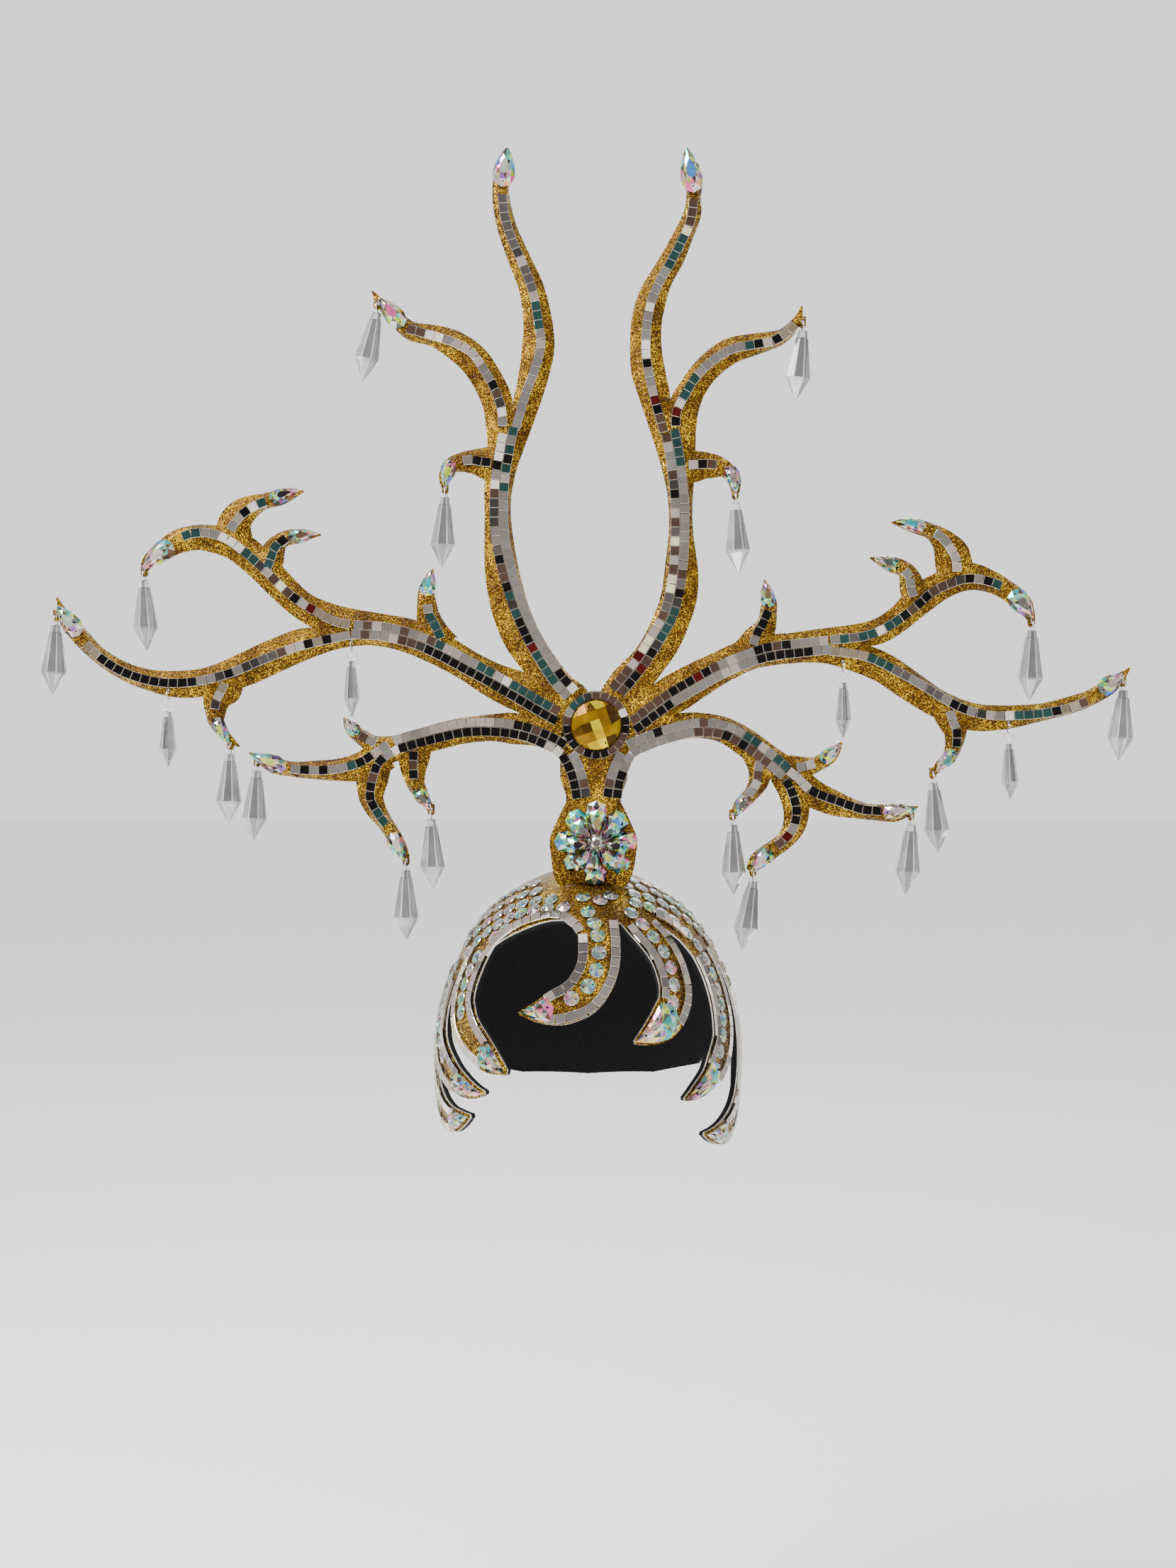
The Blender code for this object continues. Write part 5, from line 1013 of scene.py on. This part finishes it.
def make_tree():
    """The frame as one sheet of foam, with a slot for each jump ring."""
    polys = limb_polys()
    slots = []
    for x, z, _, _ in DROPS.values():
        ring = plane_point(x, z)
        polys.append([ring + Vector(p) for p in RING_PAD])
        middle = ring + Vector((0, SLOT_UP))
        slots.append([middle + Vector((SLOT_WIDE / 2 * a, SLOT_HALF_HIGH * b)) for a, b in (
            (-1, -1), (-1, 1), (1, 1), (1, -1))])
    loops = outline(polys, KEEP)
    body = max(loops, key=lambda loop: abs(turning(loop)))
    holes = [loop for loop in loops if loop is not body and abs(turning(loop)) > SMALL_HOLE]
    edges = [[above_dome(p, FRONT) for p in limit(body, FRAME_SIDE)]] + holes
    ridges = [limit(loop, RIDGE_SIDE) for loop in outline(ridge_polys(), KEEP)
              if abs(turning(loop)) > 1e-5]
    points, triangles = fill(edges + slots, (), ridges, 1e-6)

    def settle(i, y):
        at = above_dome(points[i], y)
        return Vector((at.x, y, at.y))

    def sloped(i):
        back = (BEVEL if on_edge(points[i], edges)
                else BEVEL * 0.5 if on_edge(points[i], slots) else 0.0)
        return settle(i, FRONT + back)

    corners, faces, _ = layer(triangles, sloped, lambda i: settle(i, PLATE_BACK))
    mesh = Toned()
    mesh.add(corners, faces, (0.5, 0.3, 0.02))
    thing = mesh.make("frame_foam", ["gold"])
    sharpen(thing)
    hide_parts("branch_frame", "left_branches", "right_branches")


# The frame's tiles
# Tones of the tiles from the start of each row to its end, read off the photograph: painted reflections
# in the mirrors. The second string of a pair is the row on the right of the travel. A short string
# carries on by chance.
PAIR_TONES = {
    "left_trunk": ("gggttttrkkktdtkbbkmggdddbwgkwwww", "pwkkggggggggggggggggggggtptktgtg"),
    "left_pair": ("kkkkkkkkkkkkkkkkkdbbpggbggg", "kbtttttwpttggpptbggbggpbggg"),
    "left_lower_pair": ("kkkkkwpkkkkkkkkkkkkkkkktggw", "dbgggkkkkbkkggpppppppgggppp"),
    "right_trunk": ("bbbbprccppbmmccbpbcmbpgkdbggpbp", "kbkkrbkdttttdkmbgggggggggggttttt"),
    "right_pair": ("kbbbbbkkkrkbgpggkkbkgggppgg", "kkkkkkggggggppggkkkkkkggppp"),
    "right_lower_pair": ("kbgggggggkggggbggggttpgttpp", "kkkgggggggggbbbkbkbbbggpgg"),
}
ROW_TONES = {
    "left_antler_top": "tgggggggggpgtttpmmmpdmmmmm", "right_antler_top": "pbbkrpggkwwgggwggggttttcb",
    "left_branch_top": "wgwdbkggppppgwwb", "right_branch_top": "tkrwtttggggggtkpks",
    "left_middle_far": "gssssrpkbcbpdttwwwggtt", "right_middle_far": "wtgtmttwttkbkkbbbdkgktp",
    "left_outer_far": "gggkskppbmmddgkdggkkkkkkkkkkkss",
    "right_outer_far": "spsssstttmmggmmgkkgdpgwttttkssbbss",
    "left_lower_far": "gggpkktggkgkggk", "right_lower_far": "ppppkkkkkkkkk",
    "left_hook_outer": "wgkkbkkkttkk", "right_hook_outer": "pkkkkkgrbrp",
    "left_horn_outer": "ggpkwtg", "right_horn_outer": "ppppggg",
    "left_horn_inner": "tttkg", "right_horn_inner": "ggggkg",
    "left_stub": "gkkgkb", "right_stub": "ppkbkg",
    "left_hook_inner": "wkbkgk", "right_hook_inner": "kgbpgk",
    "left_hook_down": "wspdkg", "right_spike": "wgkkkb",
}
# painted reflections of the ring of tiles round the amber stone
RING_TONES = "kwbbbbdttgbkkkbkkkbbbk"
# Letters to draw from where no tone was read: on the frame, on the curls in the light and in
# the shade, and round the windows between the curls.
FRAME_DRAW, LIGHT_DRAW, SHADE_DRAW, WINDOW_DRAW = (
    "ggggppkkkbmdtw", "ppwpgpwgpc", "gpgmgpgwgg", "ppwpgpwgpg")


def row_lines(wide, rows):
    """Middle lines of one or two tile rows."""
    fine = row_line(rows, 10)
    for off in ([0.0] if wide == 1 else [TILE_PITCH / 2, -TILE_PITCH / 2]):
        line = []
        for i, p in enumerate(fine):
            ahead = fine[min(i + 1, len(fine) - 1)] - fine[max(i - 1, 0)]
            ahead.normalize()
            line.append(p + Vector((-ahead.y, ahead.x)) * off)
        yield line


def stations(line, pitch):
    """Points every pitch along a line from half a pitch on, with the direction there."""
    out = []
    travelled, wanted = 0.0, pitch * 0.5
    for a, b in zip(line, line[1:]):
        step = (b - a).length
        while travelled + step >= wanted and step > 1e-9:
            t = (wanted - travelled) / step
            out.append((a.lerp(b, t), (b - a) / step))
            wanted += pitch
        travelled += step
    return out


def under_stone(at):
    """Whether a tile here would lie under a tip stone."""
    for x0, z0, x1, z1, width in TIP_STONES.values():
        start, end = plane_point(x0, z0), plane_point(x1, z1)
        along = (end - start).normalized()
        s = (at - start).dot(along)
        if (-TILE_SIDE * 0.42 < s < (end - start).length
                and (at - start - along * s).length < width * 0.0005):
            return True
    return False


def make_tree_tiles():
    dice = random.Random(11)
    mesh = Toned()
    placed = []
    hub = plane_point(0, 0)
    count = len(RING_TONES)
    step = 2 * math.pi * TILE_RING / count
    for k, letter in enumerate(RING_TONES):
        a = 2 * math.pi * (k + 0.5) / count
        out = Vector((math.cos(a), math.sin(a)))
        at = hub + out * TILE_RING
        placed.append(at)
        add_tile(mesh, Vector((at.x, SEAT, at.y)), Vector((-out.y, 0, out.x)),
                 Vector((out.x, 0, out.y)), TOWARDS, step * 0.96, step * 0.96,
                 varied(TONES[letter], dice))
    # the long rows run through, and the short ones start beside them
    for name in sorted(ROWS, key=lambda name: (-ROWS[name][0], -len(ROWS[name][1]), name)):
        wide, rows = ROWS[name]
        for side, line in enumerate(row_lines(wide, rows)):
            tones = PAIR_TONES[name][side] if wide == 2 else ROW_TONES.get(name, "")
            last = "g"
            for n, (at, ahead) in enumerate(stations(line, TILE_PITCH)):
                if ((at - hub).length < TILE_RING + TILE_PITCH * 0.86 or under_stone(at)
                        or min((at - p).length for p in placed) < TILE_PITCH * CROWDED):
                    continue
                placed.append(at)
                if n < len(tones):
                    last = tones[n]
                elif dice.random() < 0.45:
                    last = dice.choice(FRAME_DRAW)
                tilt = dice.uniform(-0.02, 0.02)
                along = Vector((ahead.x, 0, ahead.y)) + TOWARDS * tilt
                along.normalize()
                side_on = TOWARDS.cross(along).normalized()
                add_tile(mesh, Vector((at.x, SEAT - STAGGER * (n % 3), at.y)), along, side_on,
                         TOWARDS, TILE_SIDE * dice.uniform(0.97, 1.02),
                         TILE_SIDE * dice.uniform(0.97, 1.0), varied(TONES[last], dice))
    thing = mesh.make("frame_tiles", ["tile"])
    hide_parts("mirror_rows")


# The frame's stones
def make_tip_stones():
    for number, (name, (x0, z0, x1, z1, width)) in enumerate(TIP_STONES.items()):
        dice = random.Random(100 + number)
        start, end = plane_point(x0, z0), plane_point(x1, z1)
        along = (end - start).normalized()
        length = (end - start).length
        ahead = Vector((along.x, 0, along.y))
        mesh = Toned()
        gem(mesh, Vector((start.x, SEAT, start.y)), ahead, TOWARDS.cross(ahead), TOWARDS,
            pear(length, width * 0.001), STONE_HIGH, dice, rainbow(dice, 0.5, 0.26),
            holes=((length * 0.13, 0, 0.66), (length * 0.86, 0, 0.62)))
        thing = mesh.make(name + "_facets", ["stone"])
        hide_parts(name)


def make_amber():
    """Round stone cut as a checkerboard."""
    dice = random.Random(5)
    hub = plane_point(0, 0)
    radius = AMBER_WIDE / 2
    mesh = Toned()
    count = 24
    rim = []
    for scale, high in ((0.97, 0.0), (1.0, AMBER_RIM)):
        for k in range(count):
            a = 2 * math.pi * k / count
            rim.append(Vector((hub.x + radius * scale * math.cos(a), SEAT - high,
                               hub.y + radius * scale * math.sin(a))))
    mesh.add(rim, [[k, (k + 1) % count, count + (k + 1) % count, count + k]
                   for k in range(count)] + [list(range(count))[::-1]], (0.30, 0.17, 0.006))
    # the crown: a tilted square grid of facets, clipped by the rim
    cos, sin = math.cos(math.radians(20)), math.sin(math.radians(20))
    cells = 5
    size = 2 * radius / cells
    verts = disc(Vector((0, 0)), radius, count)
    edges = [(k, (k + 1) % count) for k in range(count)]
    for i in range(-cells, cells + 1):
        for j in range(-cells, cells + 1):
            p = Vector(((i + 0.5) * size, (j + 0.5) * size))
            p = Vector((p.x * cos - p.y * sin, p.x * sin + p.y * cos))
            if p.length < radius * 0.93:
                verts.append(p)
    got = delaunay_2d_cdt(verts, edges, [], 1, 1e-7, True)
    points = []
    for p in got[0]:
        r = min(p.length / radius, 1.0)
        points.append(Vector((hub.x + p.x, SEAT - AMBER_RIM - AMBER_CROWN * (1 - r ** 2.4),
                              hub.y + p.y)))
    # triangles that share a grid cell share a tone
    colour = {}
    shades = []
    for face in got[2]:
        m = sum((got[0][k] for k in face), Vector((0, 0))) / len(face)
        u, v = m.x * cos + m.y * sin, -m.x * sin + m.y * cos
        cell = math.floor(u / size + 0.5), math.floor(v / size + 0.5)
        if cell not in colour:
            colour[cell] = varied(dice.choice(AMBER_TONES), dice)
        shades.append(colour[cell])
    mesh.add(points, [list(f) for f in got[2]], shades)
    # the amber's two holes, dark with painted shade
    for x, z in ((-0.0049, 0.0113), (0.0059, -0.0113)):
        hole = disc(hub + Vector((x, z)), 0.0005, 8)
        mesh.prism([Vector((p.x, SEAT - 0.0046, p.y)) for p in hole],
                   [Vector((p.x, SEAT - 0.0020, p.y)) for p in hole], (0.008, 0.006, 0.004))
    thing = mesh.make("amber_facets", ["amber"])
    rework(thing.data, lambda bm: bmesh.ops.remove_doubles(bm, verts=bm.verts[:], dist=2e-6))
    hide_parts("amber_stone")


# The flower's stones. Columns: turn in degrees, near and far ends and width as shares of the
# flower's radius, height of the seat in mm, tilt in degrees.
PETALS = (
    (90, .20, 1.00, .54, 0.0, 2), (45, .24, .95, .56, 0.0, 3), (3, .22, .98, .50, 0.0, 2),
    (-42, .24, .97, .54, 0.0, 3), (-93, .20, 1.00, .58, 0.0, 2), (-138, .22, .94, .54, 0.0, 3),
    (178, .20, 1.00, .54, 0.0, 2), (132, .24, .97, .56, 0.0, 3), (89, .14, .78, .46, 3.4, 8),
    (40, .16, .66, .38, 3.2, 9), (-9, .15, .76, .42, 3.4, 8), (-53, .14, .74, .44, 3.3, 9),
    (-100, .14, .70, .38, 3.5, 8), (-127, .16, .68, .38, 3.2, 9), (186, .15, .74, .42, 3.4, 8),
    (140, .15, .72, .44, 3.3, 9))


def make_flower():
    """Two layers of pear stones round a small round one."""
    dice = random.Random(21)
    middle = flower_middle()
    radius = FLOWER_WIDE / 2
    mesh = Toned()
    for turn, near, far, wide, seat, tilt in PETALS:
        a = math.radians(turn)
        out = Vector((math.cos(a), 0, math.sin(a)))
        across = TOWARDS.cross(out)
        lean = Matrix.Rotation(math.radians(-tilt), 3, across)
        pick = rainbow(dice, 0.25, 0.24)
        at = Vector((middle.x, SEAT - seat * 0.001, middle.y)) + out * radius * far
        length = radius * (far - near)
        gem(mesh, at, lean @ -out, -across, lean @ TOWARDS, pear(length, radius * wide, 9),
            0.0042 if seat == 0 else 0.0038, dice, pick,
            holes=((length * 0.13, 0, 0.56), (length * 0.88, 0, 0.5)), hole=0.0007)
    gem(mesh, Vector((middle.x, SEAT - 0.0050, middle.y)), Vector((1, 0, 0)), Vector((0, 0, 1)),
        TOWARDS, round_outline(radius * 0.21), 0.0048, dice,
        lambda share: dice.choice(FLOWER_GREYS))
    # the plate under the stones
    plate = disc(middle, radius * 0.55, 20)
    mesh.prism([Vector((p.x, SEAT - 0.0010, p.y)) for p in plate],
               [Vector((p.x, SEAT, p.y)) for p in plate], (0.12, 0.11, 0.11))
    thing = mesh.make("flower_stones", ["stone"])
    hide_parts("flower_brooch")


# The cap's foam
def cap_pattern():
    """Outline of the cap and its curls on the cutting disc, and points spread inside it."""
    edge = []
    for (a0, d0), (a1, d1) in zip(HAIRLINE, HAIRLINE[1:]):
        parts = max(1, round((a1 - a0) / 4))
        for k in range(parts):
            s = k / parts
            edge.append(flat(a0 + (a1 - a0) * s, d0 + (d1 - d0) * s))
    polys = [[Vector((0, 0)), a, b] for a, b in zip(edge, edge[1:] + edge[:1])]
    for table, _ in CURLS.values():
        path = curl_path(table, 6)
        polys += [[beside(a, -a[2]), beside(a, a[2]), beside(b, b[2]), beside(b, -b[2])]
                  for a, b in zip(path, path[1:])]
    loops = outline([[p * CUT_SCALE for p in poly] for poly in polys], 0.00015)
    loop = limit(max(loops, key=lambda loop: abs(turning(loop))), CUT_SIDE)
    extra = [Vector((0, 0))]
    level = 0.04
    while level < 1.28:
        count = max(8, round(level * 96))
        for k in range(count):
            at = flat(360 * (k + 0.5) / count - 180, level) * CUT_SCALE
            if inside(at, [loop]) and min((at - p).length for p in loop) > CUT_MARGIN:
                extra.append(at)
        level += CUT_RINGS
    return loop, extra


def make_cap():
    """Gold outer layer and black lining, both cut from one pattern."""
    loop, extra = cap_pattern()
    points, triangles = fill([loop], extra)
    for name, high, low, kinds, materials in (
            ("cap_gold", 0.0, -SKIN, (0, 0, 1), ["gold", "foam_edge"]),
            ("cap_lining", -SKIN - 0.0001, -CAP_WALL, (0, 0, 0), ["lining"])):
        mesh = Toned()
        corners, faces, marks = layer(
            triangles, lambda i: dome(*unflat(points[i] * (1 / CUT_SCALE)), high),
            lambda i: dome(*unflat(points[i] * (1 / CUT_SCALE)), low), kinds)
        mesh.add(corners, faces, (0.62, 0.58, 0.54))
        mesh.kinds = marks
        thing = mesh.make(name, materials)
        sharpen(thing)
        if name == "cap_gold":
            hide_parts("cap_shell")


# The cap's tiles and pear stones
# Rows of tiles on the cap beside the curls' own edging. Columns: azimuth and drop share.
CAP_ROWS = (
    ((-3.4, .548), (-4.7, .528), (-6.6, .508), (-9.0, .489), (-12, .473), (-15.5, .465), (-20.5, .466),
     (-27, .482), (-32, .498), (-37, .521), (-42, .553), (-45.5, .59), (-47.3, .63)),
    ((31.5, .47), (33, .50), (35, .53)),
    ((37, .46), (43, .49), (48.5, .53), (52, .57)),
)
# Where a curl's edging starts later or earlier than the others, in eighths of a table row. The
# front curl's left edging runs on from the row round the window beside it.
EDGING_LEAD = {("curl_trim_2", -1): 4, ("curl_trim_2", 1): -2, ("curl_trim_3", -1): -3}


def tile_line(mesh, line, placed, dice, tones):
    """Row of tiles along a line on the cap, clear of the tiles placed before."""
    last = "p"
    for n, (at, ahead) in enumerate(stations(line, CAP_PITCH)):
        if placed and min((at - p).length for p in placed) < CAP_PITCH * CROWDED:
            continue
        placed.append(at)
        forward, across, up = axes_for(normal_at(at), ahead)
        if dice.random() < 0.5:
            last = dice.choice(tones)
        spin = Matrix.Rotation(dice.uniform(-0.05, 0.05), 3, up)
        add_tile(mesh, at + up * (TRIM_GLUE + STAGGER * (n % 3)), spin @ forward, spin @ across,
                 up, CAP_PITCH * dice.uniform(0.94, 0.97), TILE_SIDE * dice.uniform(0.96, 1.0),
                 varied(TONES[last], dice))


def make_curl_finish():
    """Edging and pear stone of each curl, then the rows between the curls."""
    all_placed = []
    steps = 8
    edge = 0.0005 + TILE / 2
    for number, (name, (table, stone_row)) in enumerate(CURLS.items()):
        dice = random.Random(300 + number)
        path = curl_path(table, steps)
        stone = stone_row * steps
        mesh = Toned()
        placed = []
        # the three curls on the left are in the light
        tones = LIGHT_DRAW if number in (0, 5, 6) else SHADE_DRAW
        for sign in (-1, 1):
            first = steps + EDGING_LEAD.get((name, sign), 0)
            line = [on_cap(station, sign * (station[2] - edge))
                    for station in path[first:stone + steps // 2]]
            tile_line(mesh, line, placed, dice, tones)
        gem_on_dome(mesh, path[stone:], dice)
        all_placed += placed
        thing = mesh.make(name + "_finish", ["tile", "stone"])
        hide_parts(name)
    dice = random.Random(77)
    mesh = Toned()
    for row in CAP_ROWS:
        tile_line(mesh, [dome(a, d) for a, d in spline(row, 10)], all_placed, dice, WINDOW_DRAW)
    thing = mesh.make("window_tiles", ["tile"])


def gem_on_dome(mesh, head, dice):
    """Pear stone on the end of a curl, its point at the curl's tip, bent over the dome."""
    inset = 0.0012            # from the curl's edges
    first, last = on_cap(head[0], 0), on_cap(head[-1], 0)
    seat_at = dome(*where_on_dome(first.lerp(last, 0.42)))
    # the outline follows the curl's own edges, rounded like a pear at the wide end
    rim = []
    for side in (1, -1):
        for k in range(7):
            s = k / 7 if side == 1 else 1 - k / 7
            where = min(s * (len(head) - 1), len(head) - 1.001)
            i = int(where)
            a, b = head[i], head[i + 1]
            half = a[2] + (b[2] - a[2]) * (where - i) - inset
            round_off = math.sqrt(max(0.0, 1 - max(0.0, 1 - s / 0.30) ** 2))
            off = side * max(half, 0.0004) * max(round_off, 0.02)
            rim.append(on_cap(a, off).lerp(on_cap(b, off), where - i))
    count = len(rim)
    points = []
    for level, (scale, high) in enumerate(
            ((0.95, 0.0007), (1.0, 0.0020), (0.74, 0.0042), (0.40, 0.0054))):
        for k, p in enumerate(rim):
            if level == 2:
                p = (p + rim[(k + 1) % count]) / 2
            points.append(seat_at + (p - seat_at) * scale + normal_at(p) * high)
    shares = [1 - abs(2 * k / count - 1) for k in range(count)]
    pick = rainbow(dice, 0.5, 0.2)
    faces, shades = facets(count, 3, shares, pick, dice)
    for start in (3 * count, 0):
        points.append(sum(points[start:start + count], Vector((0, 0, 0))) / count)
        for k in range(count):
            a, b = start + k, start + (k + 1) % count
            faces.append([a, b, len(points) - 1] if start else [b, a, len(points) - 1])
            shades.append(varied(pick(shares[k]), dice) if start else STONE_BACK)
    mesh.add(points, faces, shades, 1)
    # the two holes it is sewn on by, dark with painted shade
    for share in (0.14, 0.80):
        spot = first.lerp(last, share)
        f, c, u = axes_for(normal_at(spot), last - first)
        hole = [dome(*where_on_dome(spot)) + u * 0.0045 + (f * math.cos(k * math.pi / 4)
                + c * math.sin(k * math.pi / 4)) * 0.0007 for k in range(8)]
        mesh.prism(hole, [p - u * 0.0030 for p in hole], HOLE_SHADE, 1)


# Round stones on the cap: down the middle of each curl, then in rows across the front of the
# dome, from the left to the right. Columns: azimuth and drop share.
ROUND_ROWS = (
    ((-43, .535), (-48, .565), (-51.5, .60), (-54.3, .645), (-56, .695), (-56.6, .745), (-56.3, .795),
     (-54.6, .84)),
    ((0, .45), (3, .505), (4.2, .56), (4.4, .63), (3.2, .695), (0, .75), (-6, .79)),
    ((22.5, .455), (26.5, .51), (30, .565), (33, .625), (34.5, .685), (34.3, .745), (32.5, .805)),
    ((54, .55), (57.5, .60), (59.6, .655), (60.6, .71), (60.9, .765), (60.8, .815), (60, .865),
     (58.3, .915), (55.5, .962)),
    ((86.5, .70), (87.3, .755), (87.8, .81), (88, .865), (87.8, .92), (87.4, .975), (86.4, 1.03),
     (85, 1.085), (82.5, 1.135), (78.8, 1.18)),
    ((-73.6, .68), (-74.5, .735), (-75, .79), (-75, .845), (-74, .90), (-71.5, .95), (-67.5, .99)),
    ((-92.4, .72), (-92.5, .775), (-92.2, .83), (-91.6, .885), (-90.6, .94), (-89, .995), (-86.8, 1.05),
     (-83.2, 1.10), (-78.5, 1.15)),
    ((-4, .425), (-13, .425), (-22, .43), (-30, .44), (-37.5, .457), (-44, .48), (-50, .51), (-56, .545),
     (-61, .585), (-66, .63)),
    ((-12, .378), (-22, .38), (-32, .39), (-41, .408), (-49, .435), (-56, .468), (-63, .505), (-69, .545),
     (-75, .59)),
    ((-38, .33), (-48, .355), (-57, .385), (-65, .425), (-72, .465), (-79, .51), (-85, .56)),
    ((7, .385), (13.5, .405), (19.5, .425)),
    ((-3, .365), (5, .345), (14, .355)),
    ((28, .40), (36, .425), (43, .455), (49, .49), (55, .52)),
    ((20, .335), (31, .345), (41, .37), (50, .405), (57, .445), (64, .49), (70, .535), (75, .585)),
    ((30, .285), (43, .305), (54, .34), (63, .385), (70, .43), (77, .48), (82, .535), (85, .60)),
    ((44, .245), (58, .275), (68, .32), (76, .37), (83, .42), (89, .475), (94, .535), (97, .60),
     (99, .665)),
    ((-50, .275), (-61, .305), (-70, .345), (-78, .39), (-85, .44), (-91, .495), (-96, .555), (-100, .62),
     (-103, .69)),
)


def make_round_stones():
    dice = random.Random(41)
    mesh = Toned()
    placed = []
    for azimuth, drop in (pair for row in ROUND_ROWS for pair in row):
        at, normal, side = dome_axes(azimuth, drop)
        if placed and min((at - p).length for p in placed) < ROUND_STONE * 1.7:
            continue
        placed.append(at)
        ahead, across, up = axes_for(normal, side)
        spin = Matrix.Rotation(dice.uniform(-0.6, 0.6), 3, up)
        tint = dice.random()
        tones = ROUND_GREYS + (COOL_TONES if tint < 0.35 else WARM_TONES if tint < 0.55
                               else COOL_TONES[3:5])
        gem(mesh, at + up * GAP, spin @ ahead, spin @ across, up,
            round_outline(ROUND_STONE, 14), ROUND_HIGH, dice, lambda share: dice.choice(tones),
            holes=((ROUND_STONE * 0.60, 0, 0.72), (-ROUND_STONE * 0.60, 0, 0.72)), hole=0.00055,
            rims=((0.94, 0.0), (1.0, 0.30), (0.88, 0.56), (0.10, 1.0)))
    thing = mesh.make("round_stones", ["stone"])


# The drops
def make_drop_finish():
    count = len(DROP_CORNERS)
    for number, (name, (x, z, lean, turned)) in enumerate(DROPS.items()):
        dice = random.Random(500 + number)
        at = plane_point(x, z)
        origin = Vector((at.x, PLATE_BACK - PLATE_THICK / 2, at.y))
        length = DROP_SHORT if turned else DROP_LONG
        angle = math.asin(max(-0.4, min(0.4, lean * 0.001 / length)))
        turn = Matrix.Rotation(-angle, 3, "Y")
        start = origin + Vector((0, 0, -DROP_DOWN - (LOOP_DOWN if turned else 0.0)))
        points = []
        for share, wide, deep in DROP_SECTIONS:
            for corner in DROP_CORNERS:
                # broad flat faces to the front and back, narrow ones at the sides
                a = math.radians(corner)
                px = wide * 0.001 * math.cos(a) / CORNER_SHARE
                py = deep * 0.001 * math.sin(a) / CORNER_SHARE
                if turned:
                    px, py = py, px
                points.append(start + turn @ Vector((px, py, -length * share)))
        faces, shades = [], []
        for level in range(len(DROP_SECTIONS) - 1):
            low, top = level * count, (level + 1) * count
            for k, grey in enumerate(DROP_GREYS_TURNED if turned else DROP_GREYS):
                j = (k + 1) % count
                faces.append([low + k, low + j, top + j, top + k])
                # painted light in the glass: glints on some faces of the second band and of the point,
                # painted shade on the thin third band, and the point's faces pulled to a lighter, more
                # even grey
                painted_glint = dice.random() < (0.4 if level in (1, 4) else 0.0)
                grey = 0.88 if painted_glint else grey * 0.45 if level == 2 else grey
                if level == 4:
                    grey = 0.30 + grey * 0.5
                shades.append(varied((grey * 0.98, grey, grey * 0.98), dice))
        faces += [list(range(count - 1, -1, -1)), list(range(len(points) - count, len(points)))]
        shades += [GLASS_BRIGHT] * 2
        glass = Toned()
        glass.add(points, faces, shades)
        if turned:
            glass.add(*torus(origin + Vector((0, 0, -2 * RING_MEAN + 0.0004)), "Y",
                             RING_MEAN - 0.0004, GLASS_LOOP), GLASS_BRIGHT)
        body = name + "_body"
        crystal = glass.make(name + "_glass", ["glass"], body)
        wire = Toned()
        wire.add(*torus(origin, "X", RING_MEAN, RING_WIRE), WIRE_TONE)
        ring = wire.make(name + "_ring", ["wire"], body, smooth=True)
        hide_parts(name)


def dress_carried():
    """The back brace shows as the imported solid, in gold."""
    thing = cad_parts["back_brace"]
    thing.data.materials.clear()
    thing.data.materials.append(MATERIALS["gold"])


# Light and camera
FLOOR = -0.62             # height of the floor
CAMERA_AT = (0.0, -1.054, 0.0572)
PIXELS = 2300             # to the metre, at 1 m from the camera
HALF_PICTURE = 1106       # half the picture's height in pixels


def make_stage():
    mesh = bpy.data.meshes.new("floor")
    mesh.from_pydata([(x, y, FLOOR) for x, y in ((-30, -30), (30, -30), (30, 30), (-30, 30))], [],
                     [(0, 1, 2, 3)])
    floor = bpy.data.objects.new("floor", mesh)
    bpy.context.scene.collection.objects.link(floor)
    made, tree, shader = principled("pale_floor")
    feed(tree, shader, {"Base Color": (0.93, 0.93, 0.93, 1), "Roughness": 0.9})
    mesh.materials.append(made)
    world = bpy.data.worlds.new("studio")
    bpy.context.scene.world = world
    world.use_nodes = True
    feed(world.node_tree, world.node_tree.nodes["Background"],
         {"Color": (1.0, 1.0, 1.0, 1), "Strength": 1.36})
    # Columns: name, place, size, watts
    for name, at, size, power in (
            ("key", (-1.2, -0.8, 1.7), 0.9, 105.0), ("fill", (1.6, -1.8, 0.5), 1.6, 6.0),
            ("rim", (0.6, 1.8, 1.4), 1.2, 12.0)):
        lamp = bpy.data.lights.new(name, "AREA")
        lamp.size = size
        lamp.energy = power
        holder = bpy.data.objects.new(name, lamp)
        holder.location = at
        holder.rotation_mode = "QUATERNION"
        holder.rotation_quaternion = (Vector(at) - Vector((0, 0, 0.08))).to_track_quat("Z", "Y")
        bpy.context.scene.collection.objects.link(holder)


def make_camera():
    """Level, and 1 m before the faces of the frame's tiles, to half a millimetre."""
    lens = bpy.data.cameras.new("camera")
    lens.sensor_fit = "AUTO"
    lens.sensor_width = 36.0
    lens.lens = lens.sensor_width / 2 * PIXELS / HALF_PICTURE
    holder = bpy.data.objects.new("camera", lens)
    holder.location = CAMERA_AT
    holder.rotation_euler = (math.radians(90), 0, 0)
    bpy.context.scene.collection.objects.link(holder)
    bpy.context.scene.camera = holder


make_tree()
make_tree_tiles()
make_tip_stones()
make_amber()
make_flower()
make_cap()
make_curl_finish()
make_round_stones()
make_drop_finish()
dress_carried()
make_stage()
make_camera()
